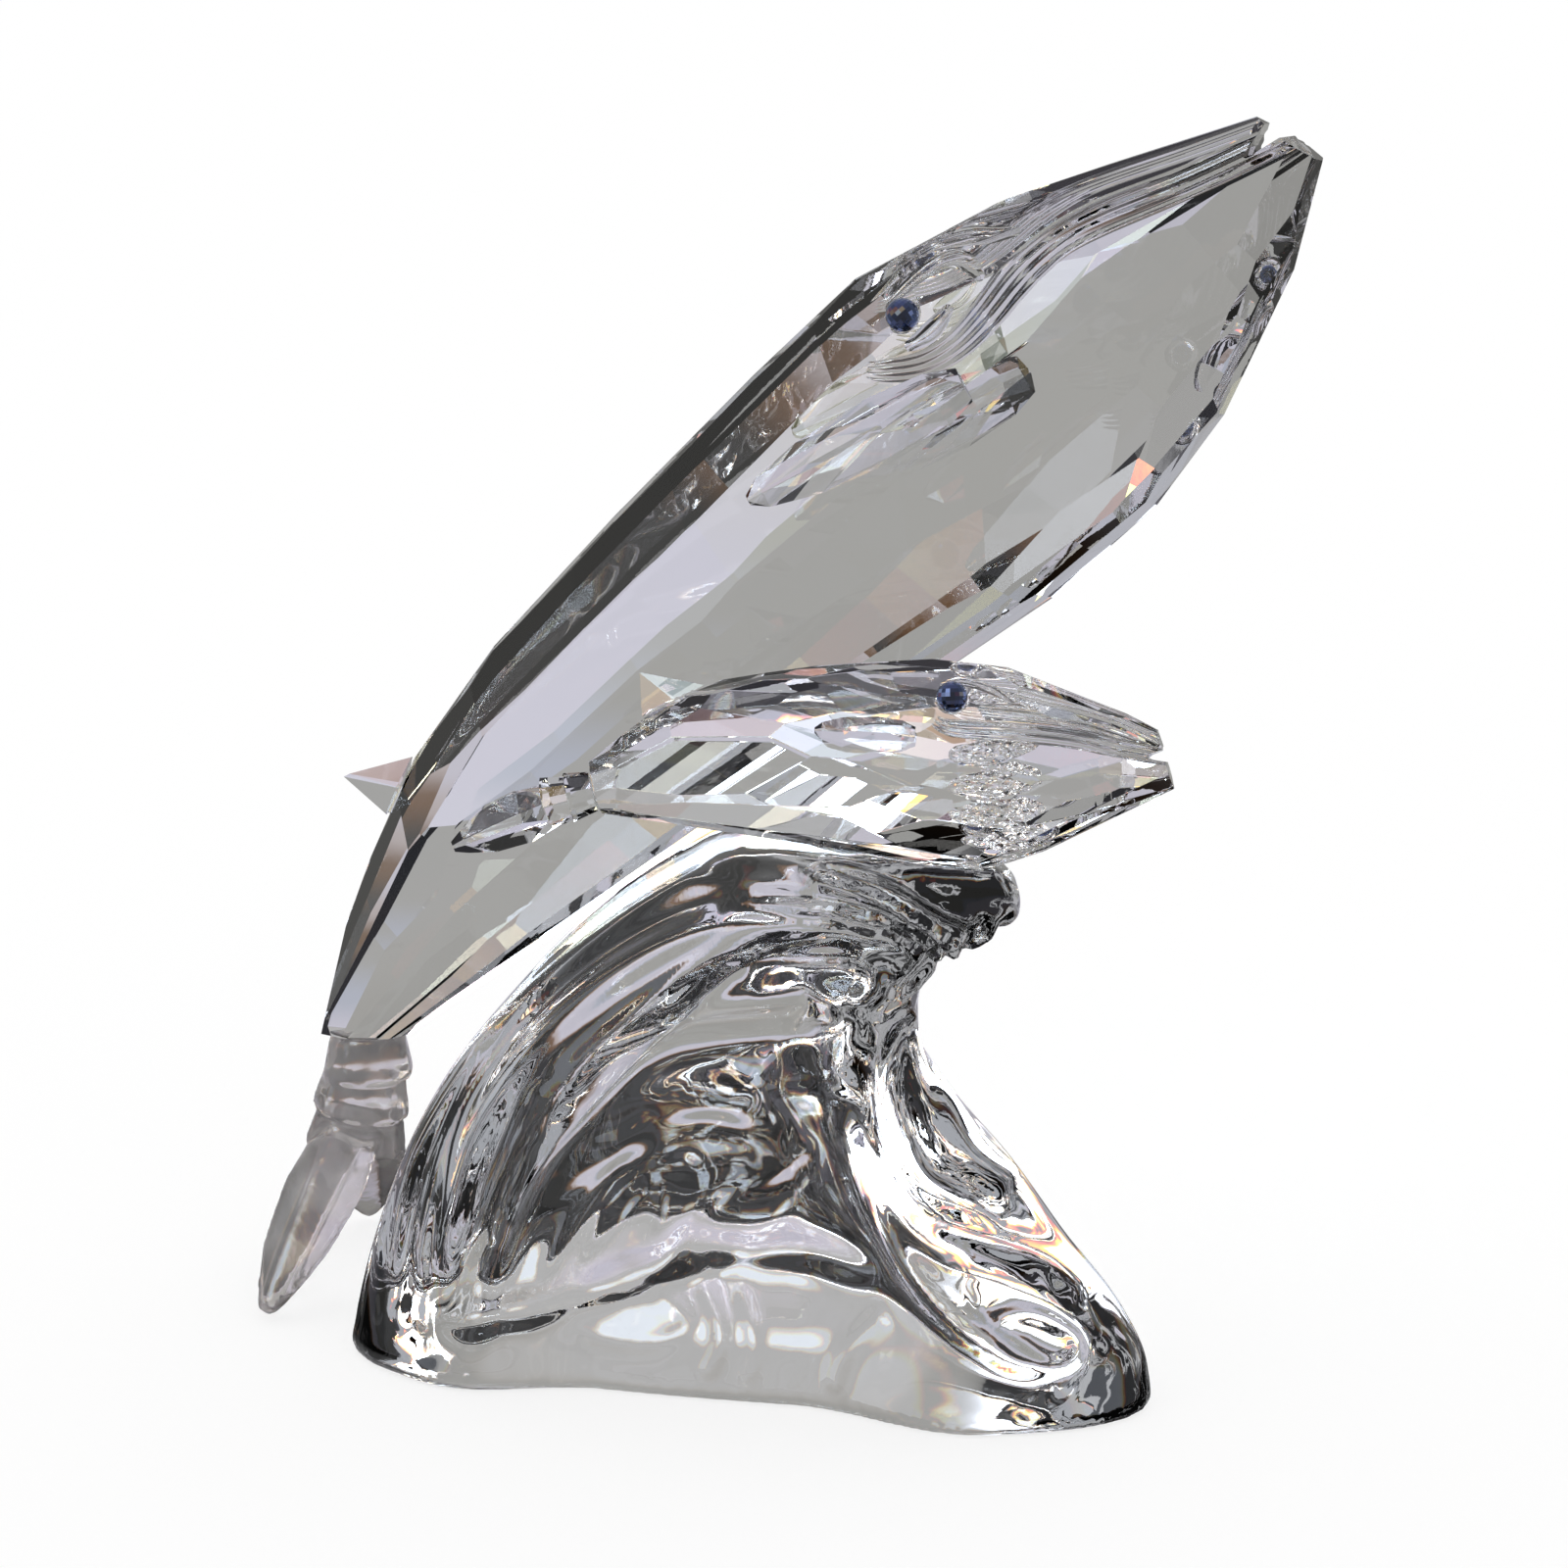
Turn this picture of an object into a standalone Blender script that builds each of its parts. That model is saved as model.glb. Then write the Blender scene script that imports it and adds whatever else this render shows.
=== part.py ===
"""Crystal whale and calf on a wave: a cut and polished table figurine, glued up from clear crystal pieces.

The frame is the figurine's own: +Z up, +X towards the whales' snouts, the viewer at -Y.
The origin lies on the flat underside of the wave. Blender units are metres.
"""

import math

import bmesh
import bpy
from mathutils import Matrix, Vector

MM = 0.001

# Clearances
GLUE_GAP = 0.3 * MM
SOCKET_GAP = 0.25 * MM

# Wave, the pressed and fire-polished base
WAVE_LENGTH = 82.5 * MM
WAVE_DEPTH = 54.0 * MM
WAVE_HEIGHT = 58.5 * MM
WAVE_FOOT_ROUNDING = 0.8 * MM
CREST_FLUTES = 3
CREST_FLUTE_DEPTH = 0.9 * MM
FLOW_HEIGHT = 1.5 * MM
FLOW_HALF_WIDTH = 1.9 * MM

# Mother whale, cut from one block
MOTHER_LENGTH = 142.0 * MM
MOTHER_BODY_DEPTH = 37.5 * MM
MOTHER_BODY_WIDTH = 27.0 * MM
MOTHER_PITCH = 45.0
MOTHER_YAW = 14.0
MOTHER_ROLL = 6.0
MOTHER_SEAT_DEPTH = 1.2 * MM
MOTHER_EYE_DIAMETER = 3.4 * MM
MOTHER_GROOVE_RADIUS = 1.1 * MM
MOTHER_LIP_STEP = 2.9 * MM
MOTHER_JAW_NOTCH = 4.0 * MM

# Calf, cut from one smaller block
CALF_LENGTH = 57.0 * MM
CALF_BODY_DEPTH = 20.0 * MM
CALF_BODY_WIDTH = 17.0 * MM
CALF_PITCH = 4.2
CALF_YAW = 8.0
CALF_ROLL = 14.0
CALF_EYE_DIAMETER = 3.0 * MM
CALF_GROOVE_RADIUS = 0.5 * MM
CALF_LIP_STEP = 1.3 * MM
CALF_JAW_NOTCH = 2.0 * MM

# Mother's fins and tail
MOTHER_FLIPPER_LENGTH = 24.5 * MM
MOTHER_FLIPPER_WIDTH = 6.8 * MM
MOTHER_FLIPPER_THICKNESS = 3.6 * MM
MOTHER_DORSAL_LENGTH = 9.0 * MM
MOTHER_DORSAL_HEIGHT = 6.5 * MM
MOTHER_DORSAL_THICKNESS = 2.6 * MM
MOTHER_TAIL_STEM_LENGTH = 12.5 * MM
MOTHER_TAIL_STEM_WIDTH = 9.6 * MM
MOTHER_FLUKE_LENGTH = 25.5 * MM
MOTHER_FLUKE_WIDTH = 10.0 * MM
MOTHER_FLUKE_THICKNESS = 5.6 * MM

# Calf's fins and tail
CALF_FLIPPER_LENGTH = 9.5 * MM
CALF_FLIPPER_WIDTH = 3.4 * MM
CALF_FLIPPER_THICKNESS = 1.8 * MM
CALF_DORSAL_LENGTH = 10.0 * MM
CALF_DORSAL_HEIGHT = 4.8 * MM
CALF_DORSAL_THICKNESS = 2.0 * MM
CALF_TAIL_STEM_LENGTH = 4.5 * MM
CALF_TAIL_STEM_WIDTH = 5.0 * MM
CALF_FLUKE_LENGTH = 12.5 * MM
CALF_FLUKE_WIDTH = 5.4 * MM
CALF_FLUKE_THICKNESS = 3.0 * MM


def principled(name, colour, roughness, metallic=0.0, transmission=0.0):
    """A Principled material with one plain colour."""
    material = bpy.data.materials.new(name)
    material.use_nodes = True
    shader = material.node_tree.nodes["Principled BSDF"]
    shader.inputs["Base Color"].default_value = (*colour, 1.0)
    shader.inputs["Roughness"].default_value = roughness
    shader.inputs["Metallic"].default_value = metallic
    shader.inputs["Transmission Weight"].default_value = transmission
    shader.inputs["IOR"].default_value = 1.55
    material.diffuse_color = (*colour, 1.0)
    return material


def place(name, bm, matrix, material):
    """Makes an object of a bmesh whose points are in the piece's own frame, and sets it at that frame."""
    mesh = bpy.data.meshes.new(name)
    bmesh.ops.recalc_face_normals(bm, faces=bm.faces)
    bm.to_mesh(mesh)
    bm.free()
    piece = bpy.data.objects.new(name, mesh)
    bpy.context.scene.collection.objects.link(piece)
    piece.matrix_world = matrix
    piece.data.materials.append(material)
    return piece


def helper(name, bm, matrix):
    """A solid that only shapes another one."""
    solid = place(name, bm, matrix, CRYSTAL)
    solid.hide_render = True
    solid.display_type = "WIRE"
    return solid


def add_boolean(piece, other, operation):
    boolean = piece.modifiers.new(other.name, "BOOLEAN")
    boolean.operation = operation
    boolean.solver = "EXACT"
    boolean.object = other


def curve_through(points, x):
    """A smooth curve through (x, y) points that doesn't overshoot between them (monotone cubic)."""
    last = len(points) - 1
    slopes = [(b[1] - a[1]) / (b[0] - a[0]) for a, b in zip(points, points[1:])]

    def tangent(i):
        if i in (0, last):
            return slopes[min(i, last - 1)]
        before, after = slopes[i - 1], slopes[i]
        return 2 * before * after / (before + after) if before * after > 0 else 0.0

    i = max(0, min(last - 1, sum(x > known for known, _ in points) - 1))
    (x0, y0), (x1, y1) = points[i], points[i + 1]
    step, t = x1 - x0, (x - x0) / (x1 - x0)
    return (
        (2 * t**3 - 3 * t**2 + 1) * y0
        + (t**3 - 2 * t**2 + t) * step * tangent(i)
        + (3 * t**2 - 2 * t**3) * y1
        + (t**3 - t**2) * step * tangent(i + 1)
    )


def smooth(low, high, x):
    """Rises smoothly from 0 at low to 1 at high."""
    t = max(0.0, min(1.0, (x - low) / (high - low)))
    return t * t * (3 - 2 * t)


def hull(points):
    """The convex solid round a set of points."""
    bm = bmesh.new()
    for point in points:
        bm.verts.new(point)
    result = bmesh.ops.convex_hull(bm, input=bm.verts)
    loose = [item for item in result["geom_interior"] if isinstance(item, bmesh.types.BMVert)]
    bmesh.ops.delete(bm, geom=loose, context="VERTS")
    bmesh.ops.dissolve_limit(bm, angle_limit=math.radians(0.5), verts=bm.verts, edges=bm.edges)
    return bm


# Pieces and materials
for old in list(bpy.data.objects):
    bpy.data.objects.remove(old)

CRYSTAL = principled("clear_crystal", (0.93, 0.94, 0.94), 0.0, transmission=1.0)
EYE_METAL = principled("blue_black_eye_bead", (0.03, 0.05, 0.12), 0.08, metallic=1.0)


# The cut whale bodies
#
# A body's own frame has x from the tail joint to the snout, y to the whale's left and z to its back.
# Its lines are shares: of the length along x, of the depth for back and belly, of the width for the sides.


class Body:
    """The smooth whale that the facets are ground tangent to."""

    def __init__(self, name, length, depth, width, back, belly, side, facets, pitch, yaw, roll, tail_face):
        self.name, self.length, self.depth, self.width = name, length, depth, width
        self.back, self.belly, self.side = back, belly, side
        turn = Matrix.Rotation(-math.radians(yaw), 4, "Z") @ Matrix.Rotation(-math.radians(pitch), 4, "Y")
        self.heading = Matrix.Rotation(-math.radians(yaw), 4, "Z")
        self.matrix = turn @ Matrix.Rotation(-math.radians(roll), 4, "X")
        self.planes = [self.facet(share, angle, deep) for angle, deep, shares in facets for share in shares]
        # The tail end is cut level, so that the tail piece can hang from it.
        self.tail_plane = (Vector((0, 0, 0)), self.matrix.inverted().to_3x3() @ Vector(tail_face))
        self.snout_plane = (Vector((0.976 * length, 0, 0)), Vector((0.97, 0, 0.24)))

    def back_at(self, x):
        return self.depth * curve_through(self.back, x / self.length)

    def belly_at(self, x):
        return self.depth * curve_through(self.belly, x / self.length)

    def reach(self, x, angle):
        """How far the section at x reaches from the body's axis line in the direction of angle."""
        back, belly = self.back_at(x), self.belly_at(x)
        half_width = self.width / 2 * curve_through(self.side, x / self.length)
        across, up = math.cos(angle), math.sin(angle)
        return (back + belly) / 2 * up + math.hypot(half_width * across, (back - belly) / 2 * up)

    def facet(self, share, angle_deg, deep):
        """The plane ground at a share of the length, facing angle_deg up from straight sideways.

        deep is the share of the smooth body's reach that the wheel leaves; less makes the facet broader.
        """
        x, angle = share * self.length, math.radians(angle_deg)
        step = 0.01 * self.length
        slope = deep * (self.reach(x + step, angle) - self.reach(x - step, angle)) / (2 * step)
        reach = deep * self.reach(x, angle)
        normal = Vector((-slope, math.cos(angle), math.sin(angle))).normalized()
        return Vector((x, reach * math.cos(angle), reach * math.sin(angle))), normal

    def block(self, outward=0.0):
        """The faceted body, with every facet moved outward by the given distance."""
        bm = bmesh.new()
        bmesh.ops.create_cube(bm, size=1.0)
        size = Matrix.Diagonal((1.3 * self.length, 2 * self.width, 2.4 * self.depth, 1.0))
        bmesh.ops.transform(bm, matrix=Matrix.Translation((self.length / 2, 0, 0)) @ size, verts=bm.verts)
        mirror = Vector((1, -1, 1))
        cuts = [self.tail_plane, self.snout_plane] + self.planes
        cuts += [(point * mirror, normal * mirror) for point, normal in self.planes if normal.y > 0.01]
        for point, normal in cuts:
            everything = bm.verts[:] + bm.edges[:] + bm.faces[:]
            bmesh.ops.bisect_plane(
                bm, geom=everything, dist=1e-7, plane_co=point + normal * outward, plane_no=normal, clear_outer=True
            )
            rim = [edge for edge in bm.edges if edge.is_boundary]
            if rim:
                bmesh.ops.holes_fill(bm, edges=rim, sides=0)
        return bm

    def side_at(self, x, z):
        """Where the cut flank lies at (x, z), on the whale's left."""
        return min(
            (normal.dot(point) - normal.x * x - normal.z * z) / normal.y for point, normal in self.planes if normal.y > 0.01
        )

    def on_flank(self, along, up, side, out=0.0):
        """The point of the flank at shares of length and depth, moved out of it. side is 1 on the left."""
        x, z = along * self.length, up * self.depth
        return Vector((x, side * (self.side_at(x, z) + out), z))


MOTHER = Body(
    "mother",
    MOTHER_LENGTH,
    MOTHER_BODY_DEPTH,
    MOTHER_BODY_WIDTH,
    back=[(-0.03, 0.05), (0.03, 0.235), (0.09, 0.35), (0.19, 0.485), (0.30, 0.55), (0.45, 0.573),
          (0.60, 0.58), (0.67, 0.567), (0.745, 0.50), (0.825, 0.387), (0.90, 0.25), (0.97, 0.12), (1.0, 0.04)],
    belly=[(-0.03, -0.055), (0.02, -0.085), (0.16, -0.17), (0.30, -0.25), (0.45, -0.335), (0.54, -0.385),
           (0.63, -0.435), (0.73, -0.437), (0.83, -0.355), (0.905, -0.248), (0.975, -0.09), (1.0, 0.01)],
    side=[(-0.03, 0.20), (0.05, 0.42), (0.16, 0.68), (0.32, 0.89), (0.50, 1.0), (0.64, 0.985),
          (0.76, 0.86), (0.86, 0.64), (0.93, 0.42), (0.98, 0.22), (1.0, 0.10)],
    facets=[
        (90, 1.0, [0.12, 0.30, 0.50, 0.66, 0.80, 0.93]),
        (66, 0.94, [0.03, 0.13, 0.24, 0.37, 0.49, 0.61, 0.73, 0.87]),
        (50, 0.905, [0.08, 0.19, 0.31, 0.43, 0.55, 0.67, 0.79, 0.92]),
        (7, 0.975, [0.03, 0.12]),
        (20, 0.935, [0.31, 0.44, 0.58, 0.70]),
        (32, 0.95, [0.80, 0.91]),
        (-4, 0.99, [0.09, 0.22, 0.36, 0.52, 0.67, 0.80, 0.91]),
        (-30, 0.975, [0.06, 0.20, 0.34, 0.48, 0.62, 0.75, 0.86, 0.95]),
        (-52, 0.97, [0.13, 0.28, 0.42, 0.56, 0.69, 0.81, 0.91]),
        (-76, 0.985, [0.05, 0.20, 0.35, 0.50, 0.63, 0.76, 0.87, 0.95]),
    ],
    pitch=MOTHER_PITCH,
    yaw=MOTHER_YAW,
    roll=MOTHER_ROLL,
    tail_face=(0, 0, -1),
)

CALF = Body(
    "calf",
    CALF_LENGTH,
    CALF_BODY_DEPTH,
    CALF_BODY_WIDTH,
    back=[(-0.03, 0.07), (0.03, 0.21), (0.11, 0.36), (0.22, 0.485), (0.33, 0.535), (0.45, 0.555),
          (0.57, 0.56), (0.64, 0.54), (0.75, 0.455), (0.85, 0.335), (0.95, 0.195), (1.0, 0.03)],
    belly=[(-0.03, -0.09), (0.03, -0.13), (0.15, -0.19), (0.28, -0.255), (0.45, -0.345), (0.57, -0.42),
           (0.66, -0.435), (0.76, -0.36), (0.86, -0.25), (0.95, -0.13), (1.0, -0.01)],
    side=[(-0.03, 0.22), (0.05, 0.42), (0.18, 0.70), (0.34, 0.92), (0.50, 1.0), (0.64, 0.97),
          (0.77, 0.80), (0.88, 0.54), (0.96, 0.28), (1.0, 0.12)],
    facets=[
        (90, 1.0, [0.04, 0.17, 0.32, 0.48, 0.64, 0.80, 0.93]),
        (68, 1.0, [0.10, 0.24, 0.40, 0.56, 0.72, 0.87]),
        (45, 1.0, [0.04, 0.17, 0.32, 0.48, 0.64, 0.80, 0.93]),
        (22, 1.0, [0.10, 0.24, 0.40, 0.56, 0.72, 0.87]),
        (-2, 1.0, [0.04, 0.18, 0.34, 0.50, 0.66, 0.80, 0.93]),
        (-26, 1.0, [0.11, 0.26, 0.42, 0.58, 0.73, 0.87]),
        (-50, 1.0, [0.05, 0.17, 0.32, 0.47, 0.62, 0.77, 0.92]),
        (-74, 1.0, [0.09, 0.24, 0.40, 0.54, 0.70, 0.86]),
    ],
    pitch=CALF_PITCH,
    yaw=CALF_YAW,
    roll=CALF_ROLL,
    tail_face=(-0.97, 0, -0.24),
)


# The wave
#
# Level slices from the foot to the crest. Each slice runs from a left to a right end, bulges to the front
# and the back of the line between them, and is scooped out in front where the breaker is hollow.
# Every line below is (share of the height, share of the length or depth) unless it says otherwise.

LEFT_END = [(0.0, -0.55), (0.12, -0.533), (0.30, -0.494), (0.49, -0.429), (0.67, -0.319), (0.80, -0.213),
            (0.89, -0.125), (0.95, -0.062), (0.985, 0.02), (1.0, 0.10)]
RIGHT_END = [(0.0, 0.452), (0.07, 0.446), (0.15, 0.419), (0.27, 0.352), (0.40, 0.286), (0.52, 0.212),
             (0.62, 0.168), (0.70, 0.163), (0.80, 0.185), (0.86, 0.235), (0.91, 0.278), (0.96, 0.276), (1.0, 0.252)]
LEFT_END_Y = [(0.0, -0.03), (0.5, -0.05), (0.8, -0.07), (0.9, -0.12), (0.96, -0.22), (1.0, -0.42)]
RIGHT_END_Y = [(0.0, -0.33), (0.3, -0.27), (0.6, -0.25), (0.78, -0.28), (0.88, -0.42), (0.94, -0.49), (1.0, -0.535)]
FRONT_BULGE = [(0.0, 0.295), (0.1, 0.265), (0.3, 0.185), (0.6, 0.18), (0.8, 0.20), (0.9, 0.18), (0.97, 0.10),
               (1.0, 0.03)]
BACK_BULGE = [(0.0, 0.60), (0.3, 0.545), (0.6, 0.48), (0.8, 0.49), (0.9, 0.48), (0.96, 0.32), (1.0, 0.07)]
HOLLOW_DEPTH = [(0.0, 0.125), (0.10, 0.11), (0.2, 0.17), (0.35, 0.245), (0.55, 0.25), (0.7, 0.20), (0.8, 0.10),
                (0.87, 0.03), (1.0, 0.0)]
# Shares of the slice's own length
HOLLOW_START = [(0.0, 0.10), (0.3, 0.13), (0.6, 0.22), (0.8, 0.34), (1.0, 0.45)]
HOLLOW_END = [(0.0, 0.78), (0.2, 0.80), (0.5, 0.86), (0.8, 0.93), (1.0, 0.95)]

FRONT_COUNT, BACK_COUNT = 56, 28
SLICE_COUNT = 44

# Flow ridges of the front: points (share of the length, share of the height) in the front view, and how far
# each ridge stands out as a share of FLOW_HEIGHT. A groove is below 0.
FLOW_LINES = [
    ([(-0.35, 0.35), (-0.25, 0.59), (-0.14, 0.685), (-0.04, 0.68), (0.04, 0.69), (0.10, 0.73)], 0.9),
    ([(-0.34, 0.26), (-0.25, 0.41), (-0.17, 0.485), (-0.10, 0.50), (-0.03, 0.45), (0.01, 0.49), (0.065, 0.54)], 1.0),
    ([(-0.37, 0.17), (-0.33, 0.27), (-0.25, 0.37), (-0.175, 0.395), (-0.14, 0.36), (-0.15, 0.26), (-0.20, 0.17)], 0.8),
    ([(-0.245, 0.15), (-0.17, 0.24), (-0.11, 0.36), (-0.05, 0.37), (0.0, 0.41), (0.06, 0.50)], 0.9),
    ([(0.065, 0.55), (0.085, 0.45), (0.12, 0.335), (0.16, 0.25), (0.22, 0.175), (0.32, 0.09)], 1.0),
    ([(0.165, 0.70), (0.137, 0.575), (0.153, 0.47), (0.185, 0.40), (0.28, 0.345)], -0.9),
    ([(-0.05, 0.75), (0.05, 0.773), (0.11, 0.78)], -1.7),
    ([(-0.45, 0.11), (-0.36, 0.13), (-0.24, 0.165), (-0.11, 0.22), (0.02, 0.233), (0.13, 0.233)], 0.7),
]


def wave_point(high, turn):
    """A point of the wave at a share of its height. turn runs 0 to 1 along the front and on to 2 at the back."""
    left = Vector((WAVE_LENGTH * curve_through(LEFT_END, high), WAVE_DEPTH * curve_through(LEFT_END_Y, high)))
    right = Vector((WAVE_LENGTH * curve_through(RIGHT_END, high), WAVE_DEPTH * curve_through(RIGHT_END_Y, high)))
    on_front = turn <= 1
    along = (1 - math.cos(math.pi * (turn if on_front else 2 - turn))) / 2
    point = left.lerp(right, along)
    bow = 1 - abs(2 * along - 1) ** 2.4
    if on_front:
        start, end = curve_through(HOLLOW_START, high), curve_through(HOLLOW_END, high)
        scoop = smooth(start, start + 0.22, along) * (1 - smooth(end - 0.22, end, along))
        point.y -= WAVE_DEPTH * (
            curve_through(FRONT_BULGE, high) * max(bow, 0.0) ** 0.5 - curve_through(HOLLOW_DEPTH, high) * scoop
        )
        point += flute(high, along, start, (right - left).normalized())
        point.y -= flow(point.x, WAVE_HEIGHT * high) * smooth(0.0, 0.1, along) * (1 - smooth(0.9, 1.0, along))
    else:
        point.y += WAVE_DEPTH * curve_through(BACK_BULGE, high) * max(bow, 0.0) ** (0.6 - 0.28 * smooth(0.4, 0.8, high))
    return Vector((point.x, point.y, WAVE_HEIGHT * high))


def flute(high, along, start, chord):
    """Flow ridges that sweep up the rim to the crest."""
    fade = smooth(0.02, 0.14, high) * (1 - smooth(0.9, 0.99, high))
    band = along / (start + 0.12)
    if band >= 1:
        return Vector((0, 0))
    depth = -CREST_FLUTE_DEPTH * (1 - math.cos(2 * math.pi * CREST_FLUTES * band)) / 2
    return Vector((-chord.x * (1 - band), -band)) * depth * fade


def flow_point(line, t):
    """The point at t (0 to 1) of a flow line, in the front view."""
    last = len(line) - 1
    x = curve_through([(k / last, share) for k, (share, _) in enumerate(line)], t)
    z = curve_through([(k / last, share) for k, (_, share) in enumerate(line)], t)
    return Vector((x * WAVE_LENGTH, z * WAVE_HEIGHT))


FLOW_STEPS = 32
FLOW_PATHS = [([flow_point(line, i / FLOW_STEPS) for i in range(FLOW_STEPS + 1)], share) for line, share in FLOW_LINES]


def flow(x, z):
    """How far the flow ridges stand out at a place of the front view."""
    here, total = Vector((x, z)), 0.0
    for path, share in FLOW_PATHS:
        distance, i = min(((here - point).length, i) for i, point in enumerate(path))
        t = i / FLOW_STEPS
        ends = max(0.2, smooth(0, 0.15, t) * smooth(0, 0.15, 1 - t))
        total += share * ends * math.exp(-((distance / FLOW_HALF_WIDTH) ** 2))
    return FLOW_HEIGHT * total


def make_wave():
    bm = bmesh.new()
    rounding = WAVE_FOOT_ROUNDING / WAVE_HEIGHT
    levels = [0.0, rounding * 0.3, rounding]
    count = SLICE_COUNT - len(levels)
    levels += [rounding + (1 - rounding) * ((i + 1) / count) ** 0.92 for i in range(count)]
    middle = Vector((-0.05 * WAVE_LENGTH, 0, 0))
    rings = []
    for high in levels:
        tuck = WAVE_FOOT_ROUNDING * (1 - math.sqrt(1 - (1 - high / rounding) ** 2)) if high < rounding else 0.0
        ring = []
        turns = [i / FRONT_COUNT for i in range(FRONT_COUNT)] + [1 + i / BACK_COUNT for i in range(BACK_COUNT)]
        for turn in turns:
            point = wave_point(max(high, rounding) if tuck else high, turn)
            point.z = WAVE_HEIGHT * high
            inward = (middle - point) * Vector((1, 1, 0))
            ring.append(bm.verts.new(point + inward.normalized() * tuck))
        rings.append(ring)
    for below, above in zip(rings, rings[1:]):
        for i in range(len(below)):
            j = (i + 1) % len(below)
            bm.faces.new((below[i], below[j], above[j], above[i]))
    bm.faces.new(rings[0][::-1])
    bm.faces.new(rings[-1])
    return bm


# Where the whales sit on the wave
#
# The mother's belly rests in a seat on the wave's back, the calf's on the pad at the crest's tip.

SEAT = Vector((-0.125 * WAVE_LENGTH, 0.195 * WAVE_DEPTH, 0.884 * WAVE_HEIGHT))
SEAT_ALONG = 0.293
PAD = Vector((0.232 * WAVE_LENGTH, -0.55 * WAVE_DEPTH, WAVE_HEIGHT))

seat_x = SEAT_ALONG * MOTHER_LENGTH
belly_point = MOTHER.matrix @ Vector((seat_x, 0, MOTHER.belly_at(seat_x)))
MOTHER.matrix = Matrix.Translation(SEAT - belly_point + Vector((0, 0, -MOTHER_SEAT_DEPTH))) @ MOTHER.matrix

calf_block = CALF.block()
lowest = min((CALF.matrix @ vert.co for vert in calf_block.verts), key=lambda point: point.z)
calf_block.free()
CALF.matrix = Matrix.Translation(PAD - lowest + Vector((0, 0, GLUE_GAP))) @ CALF.matrix


# Grooves, eyes and fins of a whale


def groove(body, name, line, radius, side, sink, drop=0.0):
    """A round bar bent along a line on the flank, to be cut out of the body. drop lowers it towards the belly."""
    steps, corners = 26, 8
    last = len(line) - 1
    along = [(k / last, share) for k, (share, _) in enumerate(line)]
    up = [(k / last, share) for k, (_, share) in enumerate(line)]
    path = []
    for i in range(steps + 1):
        t = i / steps
        x, z = body.length * curve_through(along, t), body.depth * curve_through(up, t) - drop
        path.append(Vector((x, side * max(body.side_at(x, z) + sink, 0.0), z)))
    bm = bmesh.new()
    rings = []
    for i, point in enumerate(path):
        tangent = (path[min(i + 1, steps)] - path[max(i - 1, 0)]).normalized()
        across = tangent.cross(Vector((0, 1, 0))).normalized()
        out = across.cross(tangent)
        thick = radius * (0.55 + 0.45 * math.sin(math.pi * min(1.0, 0.15 + i / steps)))
        angles = [2 * math.pi * k / corners for k in range(corners)]
        rings.append([bm.verts.new(point + thick * (math.cos(a) * across + math.sin(a) * out)) for a in angles])
    for below, above in zip(rings, rings[1:]):
        for k in range(corners):
            bm.faces.new((below[k], below[(k + 1) % corners], above[(k + 1) % corners], above[k]))
    bm.faces.new(rings[0][::-1])
    bm.faces.new(rings[-1])
    return helper(name, bm, body.matrix)


def jaw_notch(body, name, depth, up):
    """A wedge across the tip of the snout that parts the jaws."""
    x, z = 0.976 * body.length, up * body.depth
    corners = [(x - depth, z), (x + depth, z + 0.75 * depth), (x + depth, z - 0.45 * depth)]
    points = [(cx, side * body.width, cz) for cx, cz in corners for side in (-1, 1)]
    return helper(name, hull(points), body.matrix)


def ball(diameter, centre, segments=20, rings=12):
    bm = bmesh.new()
    bmesh.ops.create_uvsphere(bm, u_segments=segments, v_segments=rings, radius=diameter / 2)
    bmesh.ops.transform(bm, matrix=Matrix.Translation(centre), verts=bm.verts)
    return bm


def add_eye(body, piece, side_name, side, along, up, diameter):
    """A metal bead, set half into a round socket."""
    centre = body.on_flank(along, up, side, out=0.05 * diameter)
    name = f"{body.name}_eye_{side_name}"
    eye = place(name, ball(diameter, centre), body.matrix, EYE_METAL)
    for face in eye.data.polygons:
        face.use_smooth = True
    add_boolean(piece, helper(name + "_socket", ball(diameter + 2 * SOCKET_GAP, centre), body.matrix), "DIFFERENCE")


def leaf(length, width, thickness, outline, ridge=0.0):
    """A cut blade along +x: outline gives shares of length, half width and half thickness."""
    points = []
    for along, wide, thick in outline:
        x = along * length
        points += [(x, side * wide * width / 2, 0) for side in (-1, 1)]
        points += [(x, ridge * wide * width / 2, side * thick * thickness / 2) for side in (-1, 1)]
    return points


FLIPPER_OUTLINE = [(0.0, 0.55, 0.55), (0.13, 0.86, 0.9), (0.38, 1.0, 1.0), (0.72, 0.84, 0.72), (0.93, 0.48, 0.4),
                   (1.0, 0.16, 0.2)]
FLUKE_OUTLINE = [(0.0, 0.55, 0.8), (0.16, 0.82, 1.0), (0.42, 1.0, 0.95), (0.70, 0.82, 0.75), (0.90, 0.45, 0.5),
                 (1.0, 0.2, 0.25)]


def frame_along(start, direction, chord):
    """A frame with x along direction and y as near chord as it can be."""
    x = direction.normalized()
    z = x.cross(chord).normalized()
    y = z.cross(x)
    frame = Matrix((x, y, z)).transposed().to_4x4()
    return Matrix.Translation(start) @ frame


def transformed(points, matrix):
    return [matrix @ Vector(point) for point in points]


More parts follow.
